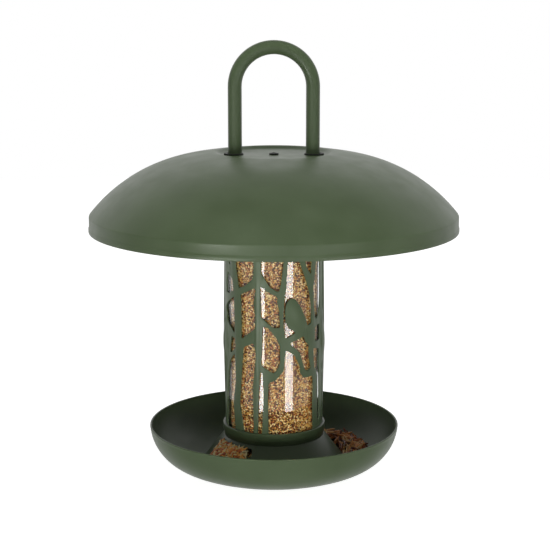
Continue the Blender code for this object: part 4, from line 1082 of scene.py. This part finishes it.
def guide_ring(side):
    """A moulded ring round one leg, in roof and cup."""
    bore = leg_radius + RING_GAP
    neck = bore + NECK_WALL
    top = ring_high.z
    bottom = top - FLANGE_HEIGHT
    foot_bottom = ring_low.z
    foot_top = foot_bottom + FOOT_HEIGHT
    shift = side * FLANGE_SHIFT
    levels = [(bore, top - BORE_ROUNDING, 0.0), (bore + BORE_ROUNDING, top, shift * 0.3)]
    for share in (0.0, 0.25, 0.5, 0.75, 1.0):
        turn = math.pi / 2 * share
        radius = FLANGE_RADIUS - FLANGE_ROUNDING * (1 - math.sin(turn))
        levels.append((radius, top - FLANGE_ROUNDING * (1 - math.cos(turn)), shift))
    levels += [(FLANGE_RADIUS, bottom, shift), (neck, bottom, 0), (neck, foot_top, 0)]
    levels += [(FOOT_RADIUS, foot_top, 0), (FOOT_RADIUS, foot_bottom, 0), (bore, foot_bottom, 0)]
    work = bmesh.new()
    rings = []
    for radius, height, moved in levels:
        rings.append(level_ring(work, side * leg_offset + moved, radius, height, RING_STEPS))
    skin(work, rings, True)
    bmesh.ops.recalc_face_normals(work, faces=work.faces)
    return smooth_mesh(work, "ring", RING_SHARP)


for label, side in (("left", -1), ("right", 1)):
    ring_name = f"guide_ring_{label}"
    show(f"{ring_name}_fine", guide_ring(side), rubber, "roof", [ring_name])

# %% [markdown]
# ## The crown's screw
#
# The screw has a low domed head with a shallow round recess. It is turned in one piece with its shank.

# %% Crown screw
screw_low, screw_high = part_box("lid_screw")
SCREW_STEPS = 48
SCREW_SHARP = 35
HEAD_HEIGHT = 0.0011
HEAD_RADIUS = screw_high.x
HEAD_EDGE = 0.0004
HEAD_DOME = 0.0007
DOME_REACH = 0.72
SOCKET_RADIUS = 0.0014
SOCKET_TAPER = 0.95
SOCKET_EDGE_DEPTH = 0.0007
SOCKET_DEPTH = 0.0008
SHANK_RADIUS = 0.0020

head_seat = screw_high.z - HEAD_HEIGHT
screw_profile = [(0.0, screw_low.z), (SHANK_RADIUS, screw_low.z), (SHANK_RADIUS, head_seat)]
screw_profile += [(HEAD_RADIUS, head_seat), (HEAD_RADIUS, head_seat + HEAD_EDGE)]
for share in (0.2, 0.4, 0.6, 0.8):
    lift = HEAD_EDGE + HEAD_DOME * math.sin(math.pi / 2 * share)
    screw_profile.append((HEAD_RADIUS * math.cos(math.pi / 2 * share * DOME_REACH), head_seat + lift))
screw_profile.append((SOCKET_RADIUS, screw_high.z))
screw_profile.append((SOCKET_RADIUS * SOCKET_TAPER, screw_high.z - SOCKET_EDGE_DEPTH))
screw_profile.append((0.0, screw_high.z - SOCKET_DEPTH))
screw_mesh = turned("crown_screw", screw_profile, SCREW_STEPS, sharp=SCREW_SHARP)
show("crown_screw", screw_mesh, screw_black, "roof", ["lid_screw"])

# %% [markdown]
# ## Seed
#
# Real seed is thousands of separate grains, each a little different. Points are scattered over the surface of
# the seed with a least distance between them, and each gets one of a few grain shapes, turned, tipped and
# scaled at random. The steps that grains and mealworms share are helpers of their own.

# %% Helpers for scattering


def scattered(tree, start, density):
    """Points on the faces of the input, with a least distance between them."""
    return step(tree, "GeometryNodeDistributePointsOnFaces", {"distribute_method": "POISSON"},
                Mesh=start.outputs["Geometry"], Distance_Min=start.outputs["Spacing"], Density_Max=density,
                Seed=start.outputs["Seed"])


def picked(tree, count):
    """A random whole number for each point, which picks one of so many shapes."""
    pick = step(tree, "FunctionNodeRandomValue", {"data_type": "INT"})
    pick.inputs[4].default_value = 0
    pick.inputs[5].default_value = count - 1
    return pick


def tipped(tree, instances, tip):
    """Instances turned any way round and tipped by up to an angle."""
    down = step(tree, "ShaderNodeMath", {"operation": "MULTIPLY"})
    tree.links.new(tip, down.inputs[0])
    down.inputs[1].default_value = -1.0
    least = step(tree, "ShaderNodeCombineXYZ", X=down.outputs[0], Y=down.outputs[0], Z=0.0)
    most = step(tree, "ShaderNodeCombineXYZ", X=tip, Y=tip, Z=2 * math.pi)
    turn = step(tree, "FunctionNodeRandomValue", {"data_type": "FLOAT_VECTOR"})
    tree.links.new(least.outputs[0], turn.inputs[0])
    tree.links.new(most.outputs[0], turn.inputs[1])
    rotated = step(tree, "GeometryNodeRotateInstances", Instances=instances)
    tree.links.new(turn.outputs[0], rotated.inputs["Rotation"])
    return rotated.outputs["Instances"]


def numbered(tree, instances, name, seed):
    """Instances that each carry a random number from 0 to 1 under a name."""
    own = step(tree, "FunctionNodeRandomValue", {"data_type": "FLOAT"}, Seed=seed)
    stored = step(tree, "GeometryNodeStoreNamedAttribute", {"domain": "INSTANCE"}, Geometry=instances,
                  Name=name)
    tree.links.new(own.outputs[1], stored.inputs["Value"])
    return stored.outputs["Geometry"]


# %% [markdown]
# A grain is a ball stretched to its length, width and thickness. Its kind's tone travels with it as a number.
# The more common a kind, the more often its shape goes into the mix that the grains are picked from.

# %% Grain shapes


def grain_shapes(tree, kinds):
    """The mix of shapes and their number. A kind is (length, width, thickness, tone, share in the mix)."""
    mix = tree.nodes.new("GeometryNodeJoinGeometry")
    total = 0
    for length, width, thickness, tone, copies in kinds:
        ball = step(tree, "GeometryNodeMeshIcoSphere", Subdivisions=1, Radius=0.5)
        size = (length, width, thickness)
        shaped = step(tree, "GeometryNodeTransform", Geometry=ball.outputs["Mesh"], Scale=size)
        toned = step(tree, "GeometryNodeStoreNamedAttribute", Geometry=shaped.outputs["Geometry"],
                     Name="kind_tone", Value=tone)
        for _ in range(copies):
            single = step(tree, "GeometryNodeGeometryToInstance", Geometry=toned.outputs["Geometry"])
            tree.links.new(single.outputs["Instances"], mix.inputs["Geometry"])
            total += 1
    return mix.outputs["Geometry"], total


# %% [markdown]
# The tree keeps only the points between two heights, so that one sheet of seed can be grown in a few bands.
# Each grain gets its own shade as a second number, and Set Material closes the tree.

# %% The grain tree
GRAIN_DENSITY = 5.0e6
LEAST_SIZE = 0.82
MOST_SIZE = 1.18
GRAIN_SHADE_SEED = 7


def grain_tree(name, kinds):
    """Scatter a mix of grains over the part of a surface between two heights."""
    tree, start, end = node_tree(name, (
        ("Spacing", "Float"), ("Tip", "Float"), ("Seed", "Int"), ("Low", "Float"), ("High", "Float"),
        ("Finish", "Material"),
    ))
    place = step(tree, "GeometryNodeInputPosition")
    height = step(tree, "ShaderNodeSeparateXYZ", Vector=place.outputs[0]).outputs["Z"]
    scatter = scattered(tree, start, GRAIN_DENSITY)
    low = start.outputs["Low"]
    high = start.outputs["High"]
    above = step(tree, "FunctionNodeCompare", {"operation": "GREATER_EQUAL"}, A=height, B=low)
    below = step(tree, "FunctionNodeCompare", {"operation": "LESS_THAN"}, A=height, B=high)
    between = tree.nodes.new("FunctionNodeBooleanMath")
    tree.links.new(above.outputs["Result"], between.inputs[0])
    tree.links.new(below.outputs["Result"], between.inputs[1])
    shapes, total = grain_shapes(tree, kinds)
    pick = picked(tree, total)
    tree.links.new(start.outputs["Seed"], pick.inputs["Seed"])
    placed = step(tree, "GeometryNodeInstanceOnPoints", Points=scatter.outputs["Points"],
                  Selection=between.outputs["Boolean"], Instance=shapes, Pick_Instance=True,
                  Rotation=scatter.outputs["Rotation"])
    tree.links.new(pick.outputs[2], placed.inputs["Instance Index"])
    size = step(tree, "FunctionNodeRandomValue", {"data_type": "FLOAT"})
    size.inputs[2].default_value = LEAST_SIZE
    size.inputs[3].default_value = MOST_SIZE
    scaled = step(tree, "GeometryNodeScaleInstances", Instances=placed.outputs["Instances"])
    tree.links.new(size.outputs[1], scaled.inputs["Scale"])
    lying = tipped(tree, scaled.outputs["Instances"], start.outputs["Tip"])
    shaded = numbered(tree, lying, "own_tone", GRAIN_SHADE_SEED)
    whole = step(tree, "GeometryNodeRealizeInstances", Geometry=shaded)
    soft = step(tree, "GeometryNodeSetShadeSmooth", Geometry=whole.outputs["Geometry"])
    finished = step(tree, "GeometryNodeSetMaterial", Geometry=soft.outputs["Geometry"],
                    Material=start.outputs["Finish"])
    tree.links.new(finished.outputs["Geometry"], end.inputs["Geometry"])
    return tree


# %% [markdown]
# The husk's material adds the two numbers and looks the sum up in a ramp of colours, so that kinds differ
# clearly and grains of one kind a little. What shows between the grains is painted shade: a dark, rough
# version of the same seed.

# %% Seed finishes
# Dark flecks of painted shade, mixed over the grains by a fine noise.
HUSK_SHADE_FLECK = (0.05, 0.025, 0.012)
OWN_SHADE = 0.13


def grain_finish(name, stops, roughness, bump):
    """Colours by kind and by grain, flecks of painted shade, and a fine husk texture."""
    husk = Finish(name, roughness)
    total = husk.tree.nodes.new("ShaderNodeMath")
    total.operation = "ADD"
    husk.link(husk.attribute("kind_tone"), total.inputs[0])
    husk.link(husk.ranged(husk.attribute("own_tone"), -OWN_SHADE, OWN_SHADE, 0.0, 1.0), total.inputs[1])
    tint = husk.ramp(total.outputs[0], stops)
    shade_flecks = husk.noise(1500.0, 2.0)
    husk.colour(husk.mixed(tint, HUSK_SHADE_FLECK, husk.ranged(shade_flecks, 0.0, 0.30, 0.45, 0.75)))
    husk.gloss(husk.ranged(husk.noise(500.0), roughness - 0.08, roughness + 0.1))
    husk.bump(((shade_flecks, bump),), 0.00015)
    return husk.material


def shadow_finish(name, deep, pale, cloud_scale, relief_scale, relief):
    """Painted shade: dark, rough seed for what lies between the grains."""
    shadow = Finish(name, 0.8)
    shadow.colour(shadow.mixed(deep, pale, shadow.ranged(shadow.noise(cloud_scale, 2.0), 0.0, 1.0)))
    shadow.bump(((shadow.noise(relief_scale, 2.0), 0.8),), relief)
    return shadow.material


seed_finish = grain_finish("seed_husk", (
    (0.0, (0.045, 0.012, 0.006)), (0.18, (0.260, 0.055, 0.014)), (0.38, (0.530, 0.175, 0.032)),
    (0.60, (0.610, 0.330, 0.068)), (0.80, (0.670, 0.450, 0.125)), (1.0, (0.900, 0.740, 0.370)),
), 0.50, 0.3)
# The seed's core is painted shade.
seed_shadow = shadow_finish("seed_shadow", (0.055, 0.026, 0.012), (0.16, 0.085, 0.035), 520.0, 600.0, 0.0008)
print("seed has a husk and a shadow")

# %% [markdown]
# The imported seed solids stay as cores, coloured dark as painted shade. Each is drawn in by about half a
# grain, along every direction in which its faces look, so that the grains cover it.

# %% Cores behind the grains
SAME_WAY = 0.9
AXIS_KEPT = 3
CORE_SHARP = 30
SEED_CORE_INSET = 0.0011


def drawn_in(node, inset, name):
    """A packed seed solid, drawn in a little so that it stays behind its grains."""
    work = merged_copy(node)
    work.normal_update()
    shifts = {}
    for corner in work.verts:
        push = Vector((0, 0, 0))
        directions = []
        for face in corner.link_faces:
            if all(face.normal.dot(known) < SAME_WAY for known in directions):
                directions.append(face.normal.copy())
        for direction in directions:
            push -= direction * inset
        shifts[corner] = push
    for corner, push in shifts.items():
        if math.hypot(corner.co.x, corner.co.y) > inset * AXIS_KEPT:
            corner.co += push
    bmesh.ops.triangulate(work, faces=work.faces)
    return smooth_mesh(work, name, CORE_SHARP)


seed_core = drawn_in("seed_column", SEED_CORE_INSET, "seed_core")
show("seed_core", seed_core, seed_shadow, "feeder", ["seed_column"])

# %% [markdown]
# The grains in the tube are scattered on a thin sheet, turned from a profile like the roof, but open and in
# small squares, so that points spread evenly over it. The sheet is only a helper and goes away afterwards.

# %% Sheets to scatter on
SHEET_STEPS = 90
SHEET_REACH = 0.0025


def sheet_object(work, name):
    """A helper object that the grains are scattered on. It is removed once they are grown."""
    sheet = bpy.data.objects.new(name, plain_mesh(work, name))
    bpy.context.scene.collection.objects.link(sheet)
    return sheet


def turned_sheet(profile, name):
    """An open profile turned round the axis in small squares."""
    work = bmesh.new()
    points = [profile[0]]
    for one, other in zip(profile, profile[1:]):
        count = max(1, round(math.dist(one, other) / SHEET_REACH))
        for index in range(1, count + 1):
            share = index / count
            points.append((one[0] + (other[0] - one[0]) * share, one[1] + (other[1] - one[1]) * share))
    skin(work, [level_ring(work, 0.0, radius, height, SHEET_STEPS) for radius, height in points], False)
    bmesh.ops.recalc_face_normals(work, faces=work.faces)
    return sheet_object(work, name)


seed_low, seed_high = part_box("seed_column")
GRAIN_HALF = 0.0007
SEED_FILL_RADIUS = 0.0298
SEED_NECK_RADIUS = 0.0252
SEED_CROWN = 0.0030
SEED_THROAT_HEIGHT = 0.0224
PORT_SILL_PLACE = (0.0380, 0.0185)
seed_profile = moved_inwards([
    (0.0016, seed_high.z - SEED_CROWN * 0.05), (SEED_FILL_RADIUS, seed_high.z - SEED_CROWN),
    (SEED_FILL_RADIUS, tube_low.z), (SEED_NECK_RADIUS, SEED_THROAT_HEIGHT), PORT_SILL_PLACE,
], -GRAIN_HALF)
seed_sheet = turned_sheet(seed_profile, "seed_sheet")
print("seed profile in mm", [(round(1000 * x, 1), round(1000 * z, 1)) for x, z in seed_profile])

# %% [markdown]
# The seed is a mix of five kinds: small yellow and red-brown millet, longer pale grains, dark round ones and
# a few that are almost white. It is grown in four bands, so that no piece gets too heavy. The lowest and the
# highest band reach far beyond the sheet, so that no grain is missed at its ends.

# %% Grains in the tube
TUBE_KINDS = (
    (0.0012, 0.0010, 0.0009, 0.62, 4),
    (0.0012, 0.0010, 0.0009, 0.36, 3),
    (0.0016, 0.0009, 0.0008, 0.80, 3),
    (0.0014, 0.0011, 0.0010, 0.06, 3),
    (0.0015, 0.0011, 0.0009, 0.97, 2),
)
BANDS = 4
BEYOND = 1.0
TUBE_SPACING = 0.00082
TUBE_TIP = 0.5
TUBE_SEED = 11

tube_grains = grain_tree("tube_grains", TUBE_KINDS)
for band in range(BANDS):
    low = seed_low.z + (seed_high.z - seed_low.z) * band / BANDS
    high = seed_low.z + (seed_high.z - seed_low.z) * (band + 1) / BANDS
    if band == 0:
        low -= BEYOND
    if band == BANDS - 1:
        high += BEYOND
    values = {"Spacing": TUBE_SPACING, "Tip": TUBE_TIP, "Seed": TUBE_SEED, "Low": low, "High": high,
              "Finish": seed_finish}
    mesh = grown(seed_sheet, tube_grains, values, f"tube_seed_{band + 1}")
    show(f"tube_seed_{band + 1}", mesh, seed_finish, "feeder", [])
bpy.data.objects.remove(seed_sheet, do_unlink=True)

# %% [markdown]
# ## Heaps in the dish
#
# The left heap is hulled grain that has run out of a port: long, orange-brown and glossy. It is scattered
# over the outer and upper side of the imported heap, as the seed in the tube is over its sheet. Its core comes
# first.

# %% Core of the grain heap
HEAP_CORE_INSET = 0.0013

# The hulled grain's ramp runs paler than its own orange-brown: painted light for what roof and dish keep off
# the heap.
heap_finish = grain_finish("hulled_grain", (
    (0.0, (0.420, 0.085, 0.015)), (0.25, (0.840, 0.250, 0.040)), (0.55, (0.950, 0.440, 0.100)),
    (0.80, (0.950, 0.620, 0.210)), (1.0, (0.950, 0.820, 0.480)),
), 0.42, 0.25)
# The heap's core is painted shade between the grains.
heap_shadow = shadow_finish("heap_shadow", (0.12, 0.04, 0.012), (0.34, 0.12, 0.035), 400.0, 500.0, 0.0008)
heap_core = drawn_in("grain_heap", HEAP_CORE_INSET, "grain_heap_core")
show("grain_heap_core", heap_core, heap_shadow, "feeder", ["grain_heap"])

# %% [markdown]
# A heap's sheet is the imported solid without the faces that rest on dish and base. It is lifted a little,
# because its grains lie on the surface. Where pieces are long, its border is drawn towards the middle of the
# heap.

# %% The upper side of a heap
LOOKS_AWAY = -0.3


def top_sheet(node, lift, border, facing, name):
    """A packed heap, lifted, without the faces that look away from a direction of (outward, upward)."""
    work = merged_copy(node)
    work.normal_update()
    under = []
    for face in work.faces:
        middle = face.calc_center_median()
        out = Vector((middle.x, middle.y, 0)).normalized()
        if face.normal.dot(out) * facing[0] + face.normal.z * facing[1] < LOOKS_AWAY:
            under.append(face)
    bmesh.ops.delete(work, geom=under, context="FACES")
    work.normal_update()
    rim = dict.fromkeys(corner for edge in work.edges if edge.is_boundary for corner in edge.verts)
    centre = sum((corner.co for corner in rim), Vector((0, 0, 0))) / len(rim)
    for corner in work.verts:
        corner.co += corner.normal * lift
        if corner in rim:
            corner.co += (centre - corner.co).normalized() * border
    bmesh.ops.subdivide_edges(work, edges=work.edges, cuts=1, use_grid_fill=True)
    bmesh.ops.triangulate(work, faces=work.faces)
    return sheet_object(work, name)


# %% [markdown]
# A grain at the foot of a heap may reach through the thin dish or into the flared base. Every grain has the
# same number of points, so the mesh is looked at in blocks of that many, and a block that reaches too far is
# deleted.

# %% Taking buried grains away
skirt_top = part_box("port_base")[1].z
SKIRT_FLARE = math.radians(37.1)
SKIRT_TOP_RADIUS = 0.0349
SUNK = 0.0009                   # how far a grain's tip may sink into the dish, which is thicker
SUNK_IN_SKIRT = 0.0022          # the skirt hides what sinks into it


def without_buried(mesh, block):
    """Take away grains of one block of points each that would reach through the dish or the skirt."""
    places = numpy.empty(len(mesh.vertices) * 3, dtype=numpy.float32)
    mesh.vertices.foreach_get("co", places)
    places = places.reshape(-1, block, 3)
    out = numpy.hypot(places[..., 0], places[..., 1])
    height = places[..., 2]
    dish_height = numpy.interp(out, [point[0] for point in dish_inside], [point[1] for point in dish_inside])
    skirt = SKIRT_TOP_RADIUS + (skirt_top - height) * math.tan(SKIRT_FLARE)
    clear_of_all = (height > dish_height - SUNK) & ((out > skirt - SUNK_IN_SKIRT) | (height > skirt_top))
    buried = numpy.repeat(~clear_of_all.all(axis=1), block)
    work = bmesh.new()
    work.from_mesh(mesh)
    gone = [corner for corner, hidden in zip(list(work.verts), buried) if hidden]
    bmesh.ops.delete(work, geom=gone, context="VERTS")
    work.to_mesh(mesh)
    work.free()
    print(mesh.name, len(gone) // block, "grains taken away,", len(mesh.vertices) // block, "left")
    return mesh


# %% [markdown]
# The hulled grains come in three kinds. They lie on the slope that faces outwards, so the sheet takes in the
# faces between outward and upward.

# %% Grain heap
HEAP_KINDS = (
    (0.0044, 0.0017, 0.0014, 0.60, 3),
    (0.0038, 0.0019, 0.0015, 0.10, 3),
    (0.0050, 0.0016, 0.0013, 0.95, 2),
)
GRAIN_POINTS = 12
HEAP_SPACING = 0.0012
HEAP_TIP = 0.5
HEAP_SEED = 5
HEAP_LIFT = 0.0001
HEAP_FACING = (0.8, 0.6)

heap_tree = grain_tree("heap_grains", HEAP_KINDS)
heap_values = {"Spacing": HEAP_SPACING, "Tip": HEAP_TIP, "Seed": HEAP_SEED, "Low": -BEYOND, "High": BEYOND,
               "Finish": heap_finish}
heap_sheet = top_sheet("grain_heap", HEAP_LIFT, 0.0, HEAP_FACING, "heap_sheet")
heap_mesh = without_buried(grown(heap_sheet, heap_tree, heap_values, "heap_grains"), GRAIN_POINTS)
bpy.data.objects.remove(heap_sheet, do_unlink=True)
show("heap_grains", heap_mesh, heap_finish, "feeder", [])

# %% [markdown]
# ## Dried mealworms
#
# A mealworm is a bent, ringed tube that tapers at both ends. Two models of it are built point by point, as a
# row of loops along an arc. Every second loop is a little narrower, which makes the rings.

# %% One mealworm
WORM_RINGS = 17
WORM_SIDES = 7
WORM_BLUNTNESS = 0.35
RING_DEPTH = 0.10


def worm_mesh(length, thickness, bend, name):
    """One mealworm along X, bent sideways, with rings."""
    work = bmesh.new()
    loops = []
    for index in range(WORM_RINGS):
        share = index / (WORM_RINGS - 1)
        angle = bend * (share - 0.5)
        reach = length / bend
        middle = Vector((reach * math.sin(angle), reach * (1 - math.cos(angle)), 0))
        across = Vector((-math.sin(angle), math.cos(angle), 0))
        swell = math.sin(math.pi * (share * 0.94 + 0.03)) ** WORM_BLUNTNESS
        radius = thickness / 2 * swell * (1.0 - RING_DEPTH * (index % 2))
        loop = []
        for side in range(WORM_SIDES):
            turn = 2 * math.pi * side / WORM_SIDES
            up = Vector((0, 0, radius * math.sin(turn)))
            loop.append(work.verts.new(middle + across * (radius * math.cos(turn)) + up))
        loops.append(loop)
    skin(work, loops, False)
    work.faces.new(loops[0][::-1])
    work.faces.new(loops[-1])
    bmesh.ops.recalc_face_normals(work, faces=work.faces)
    mesh = plain_mesh(work, name)
    mesh.shade_smooth()
    return mesh


# %% [markdown]
# The mealworms have a core and a finish of their own, built like those of the grain.

# %% Core of the mealworm heap
WORM_CORE_INSET = 0.0012

# The mealworm's ramp runs paler than its own brown: painted light for what roof and dish keep off the heap.
worm_finish = grain_finish("dried_mealworm", (
    (0.0, (0.180, 0.045, 0.020)), (0.30, (0.560, 0.160, 0.050)), (0.60, (0.860, 0.370, 0.120)),
    (0.85, (0.920, 0.560, 0.230)), (1.0, (0.950, 0.760, 0.430)),
), 0.38, 0.3)
# The mealworm core is painted shade between the worms.
worm_shadow = shadow_finish("worm_shadow", (0.018, 0.007, 0.005), (0.05, 0.018, 0.010), 300.0, 350.0, 0.001)
worm_core = drawn_in("mealworm_heap", WORM_CORE_INSET, "mealworm_core")
show("mealworm_core", worm_core, worm_shadow, "feeder", ["mealworm_heap"])

# %% [markdown]
# The tree takes the two models as objects. It scatters them like the grains, but tips them much less, so that
# most lie flat, and the random number of each takes the place of a kind's tone.

# %% The mealworm tree
WORM_DENSITY = 1.0e6
WORM_SHADE_SEED = 3
MODEL_INPUTS = ("Worm A", "Worm B")

worm_tree, worm_in, worm_out = node_tree("mealworms", (
    ("Spacing", "Float"), ("Tip", "Float"), ("Seed", "Int"), (MODEL_INPUTS[0], "Object"),
    (MODEL_INPUTS[1], "Object"), ("Finish", "Material"),
))
worm_points = scattered(worm_tree, worm_in, WORM_DENSITY)
worm_mix = worm_tree.nodes.new("GeometryNodeJoinGeometry")
for label in MODEL_INPUTS:
    model = step(worm_tree, "GeometryNodeObjectInfo", Object=worm_in.outputs[label], As_Instance=True)
    worm_tree.links.new(model.outputs["Geometry"], worm_mix.inputs["Geometry"])
worm_pick = picked(worm_tree, len(MODEL_INPUTS))
worm_placed = step(worm_tree, "GeometryNodeInstanceOnPoints", Points=worm_points.outputs["Points"],
                   Instance=worm_mix.outputs["Geometry"], Pick_Instance=True,
                   Rotation=worm_points.outputs["Rotation"])
worm_tree.links.new(worm_pick.outputs[2], worm_placed.inputs["Instance Index"])
worm_lying = tipped(worm_tree, worm_placed.outputs["Instances"], worm_in.outputs["Tip"])
worm_shaded = numbered(worm_tree, worm_lying, "kind_tone", WORM_SHADE_SEED)
worm_whole = step(worm_tree, "GeometryNodeRealizeInstances", Geometry=worm_shaded)
worm_done = step(worm_tree, "GeometryNodeSetMaterial", Geometry=worm_whole.outputs["Geometry"],
                 Material=worm_in.outputs["Finish"])
worm_tree.links.new(worm_done.outputs["Geometry"], worm_out.inputs["Geometry"])
print("mealworms", len(worm_tree.nodes), "nodes")

# %% [markdown]
# A mealworm is long, so the border of its sheet is drawn in by some millimetres. Otherwise ends would hang
# out over the rim of the heap.

# %% Mealworm heap
# A model is (name, length, thickness, bend in radians).
WORM_MODELS = (("worm_a", 0.0155, 0.0021, 0.9), ("worm_b", 0.0125, 0.0019, 1.7))
WORM_SPACING = 0.0023
WORM_TIP = 0.26
WORM_SEED = 4
WORM_LIFT = 0.0004
WORM_BORDER = 0.0028
WORM_FACING = (0.0, 1.0)

models = []
for name, length, thickness, bend in WORM_MODELS:
    model = bpy.data.objects.new(name, worm_mesh(length, thickness, bend, name))
    bpy.context.scene.collection.objects.link(model)
    models.append(model)
worm_values = {"Spacing": WORM_SPACING, "Tip": WORM_TIP, "Seed": WORM_SEED, "Finish": worm_finish}
worm_values.update(zip(MODEL_INPUTS, models))
worm_sheet = top_sheet("mealworm_heap", WORM_LIFT, WORM_BORDER, WORM_FACING, "worm_sheet")
worms = without_buried(grown(worm_sheet, worm_tree, worm_values, "mealworms"), WORM_RINGS * WORM_SIDES)
bpy.data.objects.remove(worm_sheet, do_unlink=True)
for model in models:
    bpy.data.objects.remove(model, do_unlink=True)
show("mealworms", worms, worm_finish, "feeder", [])
